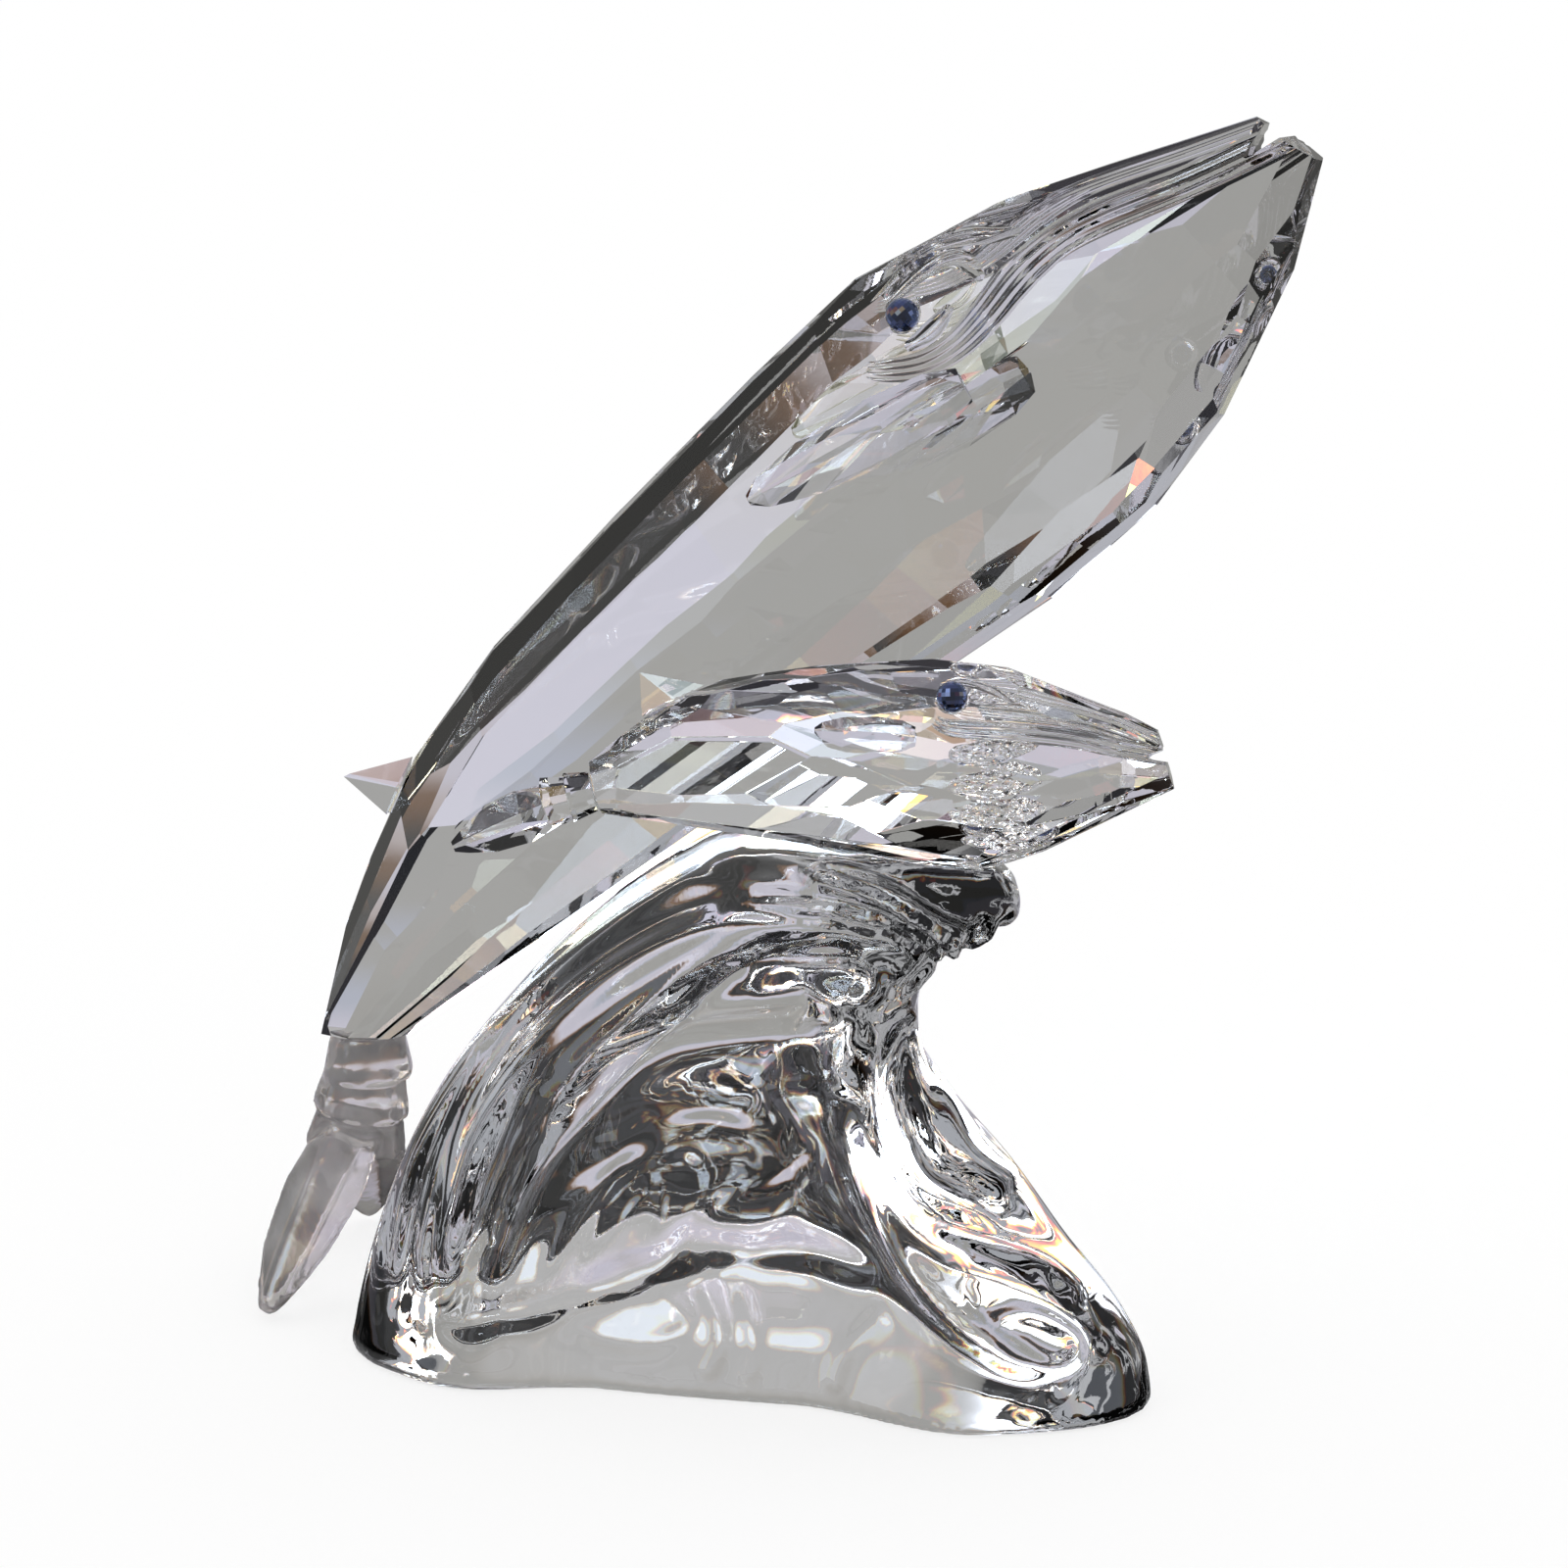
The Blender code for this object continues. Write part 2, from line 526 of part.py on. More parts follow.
def add_flipper(body, clearance, side_name, side, root, tip, length, width, thickness, flare):
    """A cut blade that lies back along the flank, glued on at its root."""
    start = body.on_flank(*root, side, out=0.15 * thickness)
    end = Vector((tip[0] * body.length, side * (abs(start.y) + flare), tip[1] * body.depth))
    chord = Vector((0.15, 0, 1))
    frame = frame_along(start, end - start, chord)
    flipper = hull(transformed(leaf(length, width, thickness, FLIPPER_OUTLINE, ridge=0.12), frame))
    piece = place(f"{body.name}_flipper_{side_name}", flipper, body.matrix, CRYSTAL)
    add_boolean(piece, clearance, "DIFFERENCE")


def add_dorsal_fin(body, clearance, front, length, height, thickness, rake):
    """A low raked fin, glued on the back."""
    x = front * body.length
    points = []
    for share, thick in ((0.0, 0.15), (0.55, 1.0), (1.0, 0.5)):
        foot = x - share * length
        points += [(foot, side * thick * thickness / 2, body.back_at(foot) - 0.3 * height) for side in (-1, 1)]
    tip = x - length - rake
    points += [(tip, 0, body.back_at(tip) + height), (tip + 0.08 * length, 0, body.back_at(tip) + 0.97 * height)]
    piece = place(f"{body.name}_dorsal_fin", hull(points), body.matrix, CRYSTAL)
    add_boolean(piece, clearance, "DIFFERENCE")


def add_tail(body, stem_direction, steps, stem_length, stem_width, fluke_length, fluke_width, fluke_thickness,
             fluke_direction, chord):
    """A stepped stem and two leaf-shaped flukes, glued on below the tail end of the body."""
    joint = body.matrix.translation
    face = -(body.matrix.to_3x3() @ body.tail_plane[1])
    down = (body.heading.to_3x3() @ Vector(stem_direction)).normalized()
    start = Matrix.Translation(joint - face * GLUE_GAP)
    middle = Vector(body.tail_middle)
    parts = []
    step_length = stem_length / steps
    for i in range(steps):
        bm = bmesh.new()
        wide = stem_width / 2 * (1 + 0.05 * i)
        bmesh.ops.create_cone(
            bm, cap_ends=True, segments=8, radius1=wide, radius2=0.8 * wide, depth=step_length * 1.1
        )
        lean = face.rotation_difference(-down).to_matrix().to_4x4() if i else Matrix.Identity(4)
        upright = Vector((0, 0, 1)).rotation_difference(face).to_matrix().to_4x4()
        spin = Matrix.Rotation(math.radians(22.5 + 18 * i), 4, "Z")
        centre = middle - face * step_length * 0.55 + (down * step_length * i)
        squash = Matrix.Diagonal((1.0, 0.82, 1.0, 1.0))
        bmesh.ops.transform(bm, matrix=Matrix.Translation(centre) @ lean @ upright @ squash @ spin, verts=bm.verts)
        parts.append(bm)
    end = middle + down * (stem_length - 0.6 * step_length)
    outline = leaf(fluke_length, fluke_width, fluke_thickness, FLUKE_OUTLINE)
    for side in (-1, 1):
        out = body.heading.to_3x3() @ (Vector(fluke_direction) * Vector((1, side, 1)))
        wide = body.heading.to_3x3() @ (Vector(chord) * Vector((1, side, 1)))
        frame = frame_along(end - out.normalized() * 0.07 * fluke_length, out, wide)
        parts.append(hull(transformed(outline, frame)))
    tail = place(f"{body.name}_tail", parts[0], start, CRYSTAL)
    for i, part in enumerate(parts[1:]):
        add_boolean(tail, helper(f"{body.name}_tail_part_{i}", part, start), "UNION")
    return tail


def end_middle(body, bm):
    """The middle of the tail end's flat face, from the joint, in world directions."""
    direction = body.tail_plane[1].normalized()
    face = max(bm.faces, key=lambda f: f.normal.dot(direction))
    return body.matrix.to_3x3() @ face.calc_center_median()


# Mother
mother_bm = MOTHER.block()
bmesh.ops.recalc_face_normals(mother_bm, faces=mother_bm.faces)
MOTHER.tail_middle = end_middle(MOTHER, mother_bm)
mother = place("mother_body", mother_bm, MOTHER.matrix, CRYSTAL)
mother_clearance = helper("mother_clearance", MOTHER.block(GLUE_GAP), MOTHER.matrix)
MOUTH = [(0.655, 0.315), (0.676, 0.225), (0.705, 0.185), (0.765, 0.215), (0.843, 0.180), (0.919, 0.112),
         (0.985, 0.045)]
for side_name, side in (("right", -1), ("left", 1)):
    for i in range(2):
        cut = groove(MOTHER, f"mother_mouth_{side_name}_{i}", MOUTH, MOTHER_GROOVE_RADIUS * (1 - 0.25 * i), side,
                     0.25 * MOTHER_GROOVE_RADIUS, drop=MOTHER_LIP_STEP * i)
        add_boolean(mother, cut, "DIFFERENCE")
    add_eye(MOTHER, mother, side_name, side, 0.703, 0.363, MOTHER_EYE_DIAMETER)
    add_flipper(MOTHER, mother_clearance, side_name, side, (0.71, 0.10), (0.56, 0.25), MOTHER_FLIPPER_LENGTH,
                MOTHER_FLIPPER_WIDTH, MOTHER_FLIPPER_THICKNESS, flare=0.9 * MOTHER_FLIPPER_THICKNESS)
add_dorsal_fin(MOTHER, mother_clearance, 0.196, MOTHER_DORSAL_LENGTH, MOTHER_DORSAL_HEIGHT,
               MOTHER_DORSAL_THICKNESS, rake=1.4 * MM)
add_tail(MOTHER, (-0.16, 0, -1), 3, MOTHER_TAIL_STEM_LENGTH, MOTHER_TAIL_STEM_WIDTH, MOTHER_FLUKE_LENGTH,
         MOTHER_FLUKE_WIDTH, MOTHER_FLUKE_THICKNESS, (-0.19, 0.70, -0.68), (1.0, 0.25, 0.1))

add_boolean(mother, jaw_notch(MOTHER, "mother_jaw_notch", MOTHER_JAW_NOTCH, 0.055), "DIFFERENCE")

# Calf
calf_bm = CALF.block()
bmesh.ops.recalc_face_normals(calf_bm, faces=calf_bm.faces)
CALF.tail_middle = end_middle(CALF, calf_bm)
calf = place("calf_body", calf_bm, CALF.matrix, CRYSTAL)
calf_clearance = helper("calf_clearance", CALF.block(GLUE_GAP), CALF.matrix)
CALF_MOUTH = [(0.596, 0.235), (0.63, 0.19), (0.72, 0.215), (0.83, 0.185), (0.92, 0.11), (0.985, 0.04)]
for side_name, side in (("right", -1), ("left", 1)):
    for i in range(2):
        cut = groove(CALF, f"calf_mouth_{side_name}_{i}", CALF_MOUTH, CALF_GROOVE_RADIUS * (1 - 0.25 * i), side,
                     0.25 * CALF_GROOVE_RADIUS, drop=CALF_LIP_STEP * i)
        add_boolean(calf, cut, "DIFFERENCE")
    add_eye(CALF, calf, side_name, side, 0.63, 0.37, CALF_EYE_DIAMETER)
    add_flipper(CALF, calf_clearance, side_name, side, (0.57, 0.185), (0.385, 0.24), CALF_FLIPPER_LENGTH,
                CALF_FLIPPER_WIDTH, CALF_FLIPPER_THICKNESS, flare=0.5 * CALF_FLIPPER_THICKNESS)
add_dorsal_fin(CALF, calf_clearance, 0.262, CALF_DORSAL_LENGTH, CALF_DORSAL_HEIGHT, CALF_DORSAL_THICKNESS,
               rake=0.2 * MM)
add_tail(CALF, (-1, 0, -0.3), 2, CALF_TAIL_STEM_LENGTH, CALF_TAIL_STEM_WIDTH, CALF_FLUKE_LENGTH,
         CALF_FLUKE_WIDTH, CALF_FLUKE_THICKNESS, (-0.86, 0.27, -0.36), (0.3, 0.5, -1.0))

add_boolean(calf, jaw_notch(CALF, "calf_jaw_notch", CALF_JAW_NOTCH, 0.05), "DIFFERENCE")

# Wave base, with the mother's seat taken out of it
wave = place("wave_base", make_wave(), Matrix.Identity(4), CRYSTAL)
for face in wave.data.polygons:
    face.use_smooth = True
wave.data.set_sharp_from_angle(angle=math.radians(40))
add_boolean(wave, mother_clearance, "DIFFERENCE")
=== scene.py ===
# %% [markdown]
# # Crystal whale and calf on a wave
#
# The real object is a figurine of clear crystal glass. A whale and her calf are each cut facet by facet from
# a block. Their fins and flippers are small cut leaves glued on, the eyes are metal beads, and the wave below
# them was pressed in a mould and fire-polished.
#
# The solids come packed as a fixed frame, so nothing starts from an empty scene. This script gives each solid
# the surface of its craft: ground facets, carved lips, flow lines in the wave, a satin tail. Then it sets the
# figurine in a plain pale studio, because clear glass shows little but the room round it.

# %% Load the frame
import math

import bmesh
import bpy
import numpy as np
from mathutils import Matrix, Vector
from mathutils.bvhtree import BVHTree


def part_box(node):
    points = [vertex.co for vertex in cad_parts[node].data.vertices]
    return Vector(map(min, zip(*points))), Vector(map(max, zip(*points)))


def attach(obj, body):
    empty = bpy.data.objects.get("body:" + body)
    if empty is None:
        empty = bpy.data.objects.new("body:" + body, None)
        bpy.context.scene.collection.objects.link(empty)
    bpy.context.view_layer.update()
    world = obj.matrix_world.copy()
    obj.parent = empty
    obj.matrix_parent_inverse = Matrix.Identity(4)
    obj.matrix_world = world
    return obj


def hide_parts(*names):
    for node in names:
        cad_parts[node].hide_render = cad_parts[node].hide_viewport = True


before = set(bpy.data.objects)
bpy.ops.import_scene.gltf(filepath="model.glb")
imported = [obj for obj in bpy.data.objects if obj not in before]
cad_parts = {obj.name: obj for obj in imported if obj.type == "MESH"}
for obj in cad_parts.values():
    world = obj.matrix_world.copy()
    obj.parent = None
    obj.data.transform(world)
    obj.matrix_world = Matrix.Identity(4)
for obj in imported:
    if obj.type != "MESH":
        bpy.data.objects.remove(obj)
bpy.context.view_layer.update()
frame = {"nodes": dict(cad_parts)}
MM = 0.001
scene = bpy.context.scene
nodes = frame["nodes"]
print("frame:", len(nodes), "nodes")

# %% [markdown]
# ## Colours and shader nodes
#
# A colour is easiest to name as a hex value, but shaders work in linear light, so one function turns it. A
# second one adds any shader node with its settings and links, which keeps a material short enough to read.

# %% Colours and shader nodes


def linear(hex_colour, alpha=1.0):
    """An sRGB hex colour as the linear values that the shaders work in."""
    channels = [int(hex_colour[i : i + 2], 16) / 255 for i in (1, 3, 5)]
    return tuple(c / 12.92 if c <= 0.04045 else ((c + 0.055) / 1.055) ** 2.4 for c in channels) + (alpha,)


def add_node(tree, kind, settings=None, **inputs):
    """Adds a node; settings are its own properties, inputs are values or sockets by name or number."""
    node = tree.nodes.new(kind)
    for key, value in (settings or {}).items():
        setattr(node, key, value)
    for key, value in inputs.items():
        index = int(key[1:]) if key[0] == "i" and key[1:].isdigit() else key.replace("_", " ")
        socket = node.inputs[index]
        if isinstance(value, bpy.types.NodeSocket):
            tree.links.new(value, socket)
        else:
            socket.default_value = value
    return node


print("mid grey #808080 is", round(linear("#808080")[0], 3), "in linear light")

# %% [markdown]
# ## Camera
#
# Small glass is photographed from some way off through a long lens, which keeps its proportions. This camera
# looks down by 14 degrees from about half a metre, aimed a little below the figurine's middle. It is turned by
# plain angles, without a target, so that it can be swung round for the other views.

# %% Camera
CAMERA_TILT = math.radians(14.0)
CAMERA_DISTANCE = 0.480
AIM = Vector((0, 0, 0.060))

camera_data = bpy.data.cameras.new("camera")
camera = bpy.data.objects.new("camera", camera_data)
scene.collection.objects.link(camera)
camera.location = AIM + CAMERA_DISTANCE * Vector((0, -math.cos(CAMERA_TILT), math.sin(CAMERA_TILT)))
camera.rotation_euler = (math.pi / 2 - CAMERA_TILT, 0, 0)
camera_data.sensor_width = 36.0
camera_data.lens = 108.0
camera_data.clip_start = 0.01
scene.camera = camera
scene.view_settings.view_transform = "Standard"
print("camera:", round(CAMERA_DISTANCE / MM), "mm away, lens", camera_data.lens, "mm")

# %% [markdown]
# ## Studio
#
# Clear glass is lit by bright cards in a dim room: the facets that mirror a card flash and the rest stay grey
# or dark. The cards could be lamps or planes. Here they are soft-edged discs painted on the world by direction,
# because then nothing stands near the glass, and each colour channel can end at a slightly different angle.
# That gives the rainbow edges of lead crystal without tracing real dispersion, which needs far more samples.

# %% One light card
world = bpy.data.worlds.new("studio")
scene.world = world
world.use_nodes = True
tree = world.node_tree
tree.nodes.clear()

direction = add_node(tree, "ShaderNodeTexCoord").outputs["Generated"]


def card(axis, inner_deg, outer_deg, low, high, fringe=0.003):
    """A soft-edged round card seen in the direction of axis: high inside, low outside, with rainbow edges."""
    facing = add_node(
        tree, "ShaderNodeVectorMath", {"operation": "DOT_PRODUCT"}, i0=direction, i1=Vector(axis).normalized()
    )
    near, far = math.cos(math.radians(inner_deg)), math.cos(math.radians(outer_deg))
    spread = Vector((-fringe, 0, fringe))
    # In this node's vector form, sockets 7 to 10 are From Min, From Max, To Min and To Max.
    ranged = add_node(
        tree,
        "ShaderNodeMapRange",
        {"data_type": "FLOAT_VECTOR", "interpolation_type": "SMOOTHSTEP"},
        Vector=facing.outputs["Value"],
        i7=Vector((far, far, far)) + spread,
        i8=Vector((near, near, near)) + spread,
        i9=Vector(low),
        i10=Vector(high),
    )
    return ranged.outputs["Vector"]


def add_light(room, light):
    return add_node(tree, "ShaderNodeVectorMath", {"operation": "ADD"}, i0=room, i1=light).outputs["Vector"]


print("world:", world.name)

# %% The room and its cards
GREY_BACKDROP = (0.375, 0.37, 0.355)
DIM_FRONT = (0.42, 0.43, 0.46)
NO_LIGHT = (0, 0, 0)
# For each card: what it is, where it hangs, its inner and outer edge in degrees, its light, its rainbow fringe
CARDS = [
    ("violet sheen from above", (-0.2, 0.1, 1), 28, 42, (0.20, 0.18, 0.28), 0.003),
    ("paler top of the backdrop", (0.1, 1, 0.75), 16, 26, (0.10, 0.10, 0.11), 0.003),
    ("large softbox, front left and high", (-0.45, -0.65, 0.70), 18, 24, (3.0, 3.5, 4.2), 0.010),
    ("hot middle of that softbox", (-0.42, -0.72, 0.80), 11, 15, (4.0, 4.6, 5.4), 0.006),
    ("card at the left", (-0.95, -0.45, 0.15), 14, 18, (1.4, 1.5, 1.7), 0.010),
    ("card at the right", (0.90, -0.50, 0.25), 16, 22, (1.3, 1.4, 1.6), 0.010),
    ("small card, right and behind", (1, 0.45, 0.10), 10, 14, (0.7, 0.7, 0.75), 0.006),
    ("small card, left and behind", (-1, 0.5, 0.25), 8, 12, (0.7, 0.7, 0.8), 0.006),
]
room = card((0, 1, 0.15), 60, 92, DIM_FRONT, GREY_BACKDROP)
for _, axis, inner, outer, light, fringe in CARDS:
    room = add_light(room, card(axis, inner, outer, NO_LIGHT, light, fringe))
print("studio:", len(CARDS), "cards in a grey room")

# %% White for the camera, the room for the glass
rays = add_node(tree, "ShaderNodeLightPath")
glassy = add_node(
    tree,
    "ShaderNodeMath",
    {"operation": "ADD", "use_clamp": True},
    i0=rays.outputs["Is Glossy Ray"],
    i1=rays.outputs["Is Transmission Ray"],
)
plain = add_node(tree, "ShaderNodeBackground", Color=(1, 1, 1, 1), Strength=1.0)
studio = add_node(tree, "ShaderNodeBackground", Color=room, Strength=1.0)
shown = add_node(tree, "ShaderNodeMixShader", i0=glassy.outputs[0], i1=plain.outputs[0], i2=studio.outputs[0])
add_node(tree, "ShaderNodeOutputWorld", Surface=shown.outputs[0])
print("world:", len(tree.nodes), "nodes")

# %% [markdown]
# ## Floor
#
# The figurine stands on pale paper, which the camera sees as near white with a soft shadow. The table that
# real glass shows is another matter: it is dark in the figurine's own shade, pale beyond it and grey far off,
# and the wave's dark hollow is that shade seen through the glass. Here that is painted: the table glows by
# itself in tones laid in rings round the figurine's middle, a painted shadow near it and a painted pool of
# light beyond, all in one ramp. Only rays that don't come from the camera see them, so the paper stays plain.

# %% Floor plane
bpy.ops.object.select_all(action="DESELECT")
bpy.ops.mesh.primitive_plane_add(size=6, location=(0, 0, -0.0002))
floor = bpy.context.object
floor.name = "floor"
print("floor:", floor.dimensions.x, "m wide")

# %% Painted tones of the table
PAINTED_TABLE_CENTRE = (-0.006, 0.002, 0.0)
# The table's painted glow at distances from that centre, as the glass shows it: a painted shadow near the
# figurine, a painted pool of pale violet light beyond it, then even grey
PAINTED_TABLE_REACH = 0.50
PAINTED_TABLE_SHADE_AND_LIGHT = [
    (0.0, (0.016, 0.016, 0.017, 1)),
    (0.077, (0.028, 0.028, 0.028, 1)),
    (0.087, (0.16, 0.09, 0.05, 1)),
    (0.095, (0.48, 0.42, 0.42, 1)),
    (0.104, (0.58, 0.56, 0.64, 1)),
    (0.180, (0.56, 0.545, 0.62, 1)),
    (0.210, (0.43, 0.45, 0.52, 1)),
    (0.255, (0.375, 0.37, 0.355, 1)),
]
# A painted strip of light on the table in front of the wave, which lights up the crest in the glass: its
# middle, its half sizes and its tone
PAINTED_STRIP_MIDDLE, PAINTED_STRIP_HALF, PAINTED_STRIP_LIGHT = (-0.036, -0.026, 0.0), (0.026, 0.028), (0.42, 0.42, 0.43, 1)
print("table:", len(PAINTED_TABLE_SHADE_AND_LIGHT), "tones, the last", round(PAINTED_TABLE_SHADE_AND_LIGHT[-1][0] / MM), "mm out")

# %% Paper, and the painted table that glass sees
paper = bpy.data.materials.new("pale paper and painted table")
paper.use_nodes = True
tree = paper.node_tree
tree.nodes.clear()
rays = add_node(tree, "ShaderNodeLightPath")
white = add_node(tree, "ShaderNodeEmission", Color=(1, 1, 1, 1), Strength=0.75)
matt = add_node(tree, "ShaderNodeBsdfDiffuse", Color=(0.25, 0.25, 0.25, 1))
lit = add_node(tree, "ShaderNodeAddShader", i0=white.outputs[0], i1=matt.outputs[0])

place = add_node(tree, "ShaderNodeTexCoord").outputs["Object"]
aside = add_node(tree, "ShaderNodeVectorMath", {"operation": "SUBTRACT"}, i0=place, i1=PAINTED_TABLE_CENTRE)
away = add_node(tree, "ShaderNodeVectorMath", {"operation": "LENGTH"}, i0=aside.outputs["Vector"])
shade = add_node(
    tree, "ShaderNodeMapRange", Value=away.outputs["Value"], From_Min=0.0, From_Max=PAINTED_TABLE_REACH
)
# The ramp paints the table's shade and light: a dark painted shadow round the figurine, a pale painted pool of
# light, then grey
tone = add_node(tree, "ShaderNodeValToRGB", i0=shade.outputs["Result"])
ramp = tone.color_ramp
ramp.interpolation = "EASE"
while len(ramp.elements) < len(PAINTED_TABLE_SHADE_AND_LIGHT):
    ramp.elements.new(0.5)
for element, (distance, colour) in zip(ramp.elements, PAINTED_TABLE_SHADE_AND_LIGHT):
    element.position, element.color = distance / PAINTED_TABLE_REACH, colour

# A painted patch of light on the table in front of the wave, which the crest shows
painted_strip_mask = add_node(tree, "ShaderNodeVectorMath", {"operation": "SUBTRACT"}, i0=place, i1=PAINTED_STRIP_MIDDLE)
painted_strip_mask = add_node(
    tree, "ShaderNodeVectorMath", {"operation": "MULTIPLY"}, i0=painted_strip_mask.outputs["Vector"],
    i1=(1 / PAINTED_STRIP_HALF[0], 1 / PAINTED_STRIP_HALF[1], 0.0),
)
painted_strip_mask = add_node(tree, "ShaderNodeVectorMath", {"operation": "LENGTH"}, i0=painted_strip_mask.outputs["Vector"])
painted_strip_mask = add_node(
    tree, "ShaderNodeMapRange", {"interpolation_type": "SMOOTHSTEP"}, Value=painted_strip_mask.outputs["Value"],
    From_Min=0.8, From_Max=1.2, To_Min=1.0, To_Max=0.0,
)
tone = add_node(tree, "ShaderNodeMixRGB", i0=painted_strip_mask.outputs["Result"], i1=tone.outputs["Color"], i2=PAINTED_STRIP_LIGHT)
# The painted table glows by itself for every ray but the camera's, with no lamp on it
grey = add_node(tree, "ShaderNodeEmission", Color=tone.outputs["Color"], Strength=1.0)
camera_ray = rays.outputs["Is Camera Ray"]
mix = add_node(tree, "ShaderNodeMixShader", i0=camera_ray, i1=grey.outputs[0], i2=lit.outputs[0])
add_node(tree, "ShaderNodeOutputMaterial", Surface=mix.outputs[0])
floor.data.materials.append(paper)
print(paper.name + ":", len(tree.nodes), "nodes")

# %% [markdown]
# ## Crystal
#
# Cut crystal is lead glass: clear and heavy, with an index of about 1.55, ground flat and then polished. A
# perfect glass shader looks like plastic in a still, so the tint drifts a little, the polish has faint clouds,
# and a fine bump breaks up the longest reflections. The mother's tail is different on the real piece. It has
# the milky, satin skin of its mould, so it gets more roughness and a share of diffuse frost.

# %% A glass material
GLASS_INDEX = 1.55


def glass_material(name, tints, tint_scale, roughness, bumps, bump_scale, frost=0.0):
    """Glass whose tint, polish and surface vary with noise in the object's coordinates, frosted by a share."""
    material = bpy.data.materials.new(name)
    material.use_nodes = True
    tree = material.node_tree
    tree.nodes.clear()
    place = add_node(tree, "ShaderNodeTexCoord").outputs["Object"]
    clouds = add_node(tree, "ShaderNodeTexNoise", Vector=place, Scale=tint_scale, Detail=3.0)
    tint = add_node(tree, "ShaderNodeMixRGB", i0=clouds.outputs[0], i1=(*tints[0], 1), i2=(*tints[1], 1))
    rough = add_node(
        tree, "ShaderNodeMapRange", Value=clouds.outputs[0], From_Min=0.45, From_Max=0.75,
        To_Min=roughness[0], To_Max=roughness[1],
    )
    grain = add_node(tree, "ShaderNodeTexNoise", Vector=place, Scale=bump_scale, Detail=2.0)
    bump = add_node(tree, "ShaderNodeBump", Strength=bumps, Distance=0.05 * MM, Height=grain.outputs[0])
    glass = add_node(
        tree, "ShaderNodeBsdfGlass", IOR=GLASS_INDEX, Color=tint.outputs[0], Roughness=rough.outputs["Result"],
        Normal=bump.outputs[0],
    )
    surface = glass.outputs[0]
    if frost:
        cloudy = add_node(
            tree, "ShaderNodeMapRange", Value=clouds.outputs[0], From_Min=0.35, From_Max=0.65,
            To_Min=0.4 * frost, To_Max=1.5 * frost,
        )
        milk = add_node(tree, "ShaderNodeBsdfDiffuse", Color=tint.outputs[0], Roughness=0.6)
        frosted = add_node(
            tree, "ShaderNodeMixShader", i0=cloudy.outputs["Result"], i1=surface, i2=milk.outputs[0]
        )
        surface = frosted.outputs[0]
    add_node(tree, "ShaderNodeOutputMaterial", Surface=surface)
    return material


print("index of the glass:", GLASS_INDEX)

# %% Polished crystal and satin glass
# Lead crystal, cut and polished: clear, with a faint drift in its tint, so that big facets aren't dead flat
crystal = glass_material(
    "cut and polished lead crystal", tints=((0.992, 0.993, 0.994), (0.975, 0.978, 0.98)), tint_scale=60.0,
    roughness=(0.0, 0.004), bumps=0.02, bump_scale=900.0,
)
# Pressed crystal with a satin skin: a soft grey sheen in place of sharp flashes, for the mother's tail
satin = glass_material(
    "satin pressed crystal", tints=((0.99, 0.982, 0.98), (0.955, 0.94, 0.94)), tint_scale=150.0,
    roughness=(0.03, 0.20), bumps=0.4, bump_scale=1400.0, frost=0.15,
)
print("glass:", crystal.name, "and", satin.name)

# %% [markdown]
# ## Eye beads
#
# The eyes are round steel beads, blued by heat and glued half into drilled sockets. They look nearly black head
# on and blue at their rim, and they mirror the softbox as one small highlight. A metal shader does this with a
# colour that depends on the angle of view, under a thin clear coat. The blue is the oxide's own colour; its
# rise from near black head on to bright blue at the rim is a painted rim sheen.

# %% Blued steel
# Blued steel: the oxide's blue varies a little, and a painted rim sheen takes it from nearly black head on to
# blue at the rim
bead = bpy.data.materials.new("blued steel bead")
bead.use_nodes = True
tree = bead.node_tree
shader = tree.nodes["Principled BSDF"]
shader.inputs["Metallic"].default_value = 1.0
shader.inputs["Coat Weight"].default_value = 1.0
shader.inputs["Coat Roughness"].default_value = 0.02
shader.inputs["Coat IOR"].default_value = 1.6
place = add_node(tree, "ShaderNodeTexCoord").outputs["Object"]
film = add_node(tree, "ShaderNodeTexNoise", Vector=place, Scale=500.0, Detail=2.0)
# Painted rim sheen: the colour brightens from near black head on to blue at the grazing rim
painted_rim_sheen = add_node(tree, "ShaderNodeLayerWeight", Blend=0.35)
blue = add_node(tree, "ShaderNodeMixRGB", i0=film.outputs[0], i1=linear("#3A5FB0"), i2=linear("#6C98E8"))
blue = add_node(tree, "ShaderNodeMixRGB", i0=painted_rim_sheen.outputs["Facing"], i1=linear("#0C1530"), i2=blue.outputs[0])
worn = add_node(tree, "ShaderNodeMapRange", Value=film.outputs[0], To_Min=0.04, To_Max=0.12)
tree.links.new(blue.outputs[0], shader.inputs["Base Color"])
tree.links.new(worn.outputs["Result"], shader.inputs["Roughness"])
print(bead.name + ":", len(tree.nodes), "nodes")

# %% A first finish for every node
for name, node in nodes.items():
    material = bead if "eye" in name else crystal
    for slot in node.material_slots:
        slot.material = material
print("beads:", sum("eye" in name for name in nodes))

# %% [markdown]
# ## Wave
#
# The real wave is pressed and fire-polished, so it has no facets: soft ridges follow the water up its rim, curl
# under its crest and run down to its foot. It could be sculpted by hand. A script can do the same in three
# steps: lay a fine even skin over the solid, smooth it as a flame does, and press each flow line into it along
# a curve that was read off the front view. Lines press only where the surface faces the viewer, and they fade
# at both ends, so they melt into the glass.

# %% Flow lines
WAVE_VOXEL = 0.5 * MM
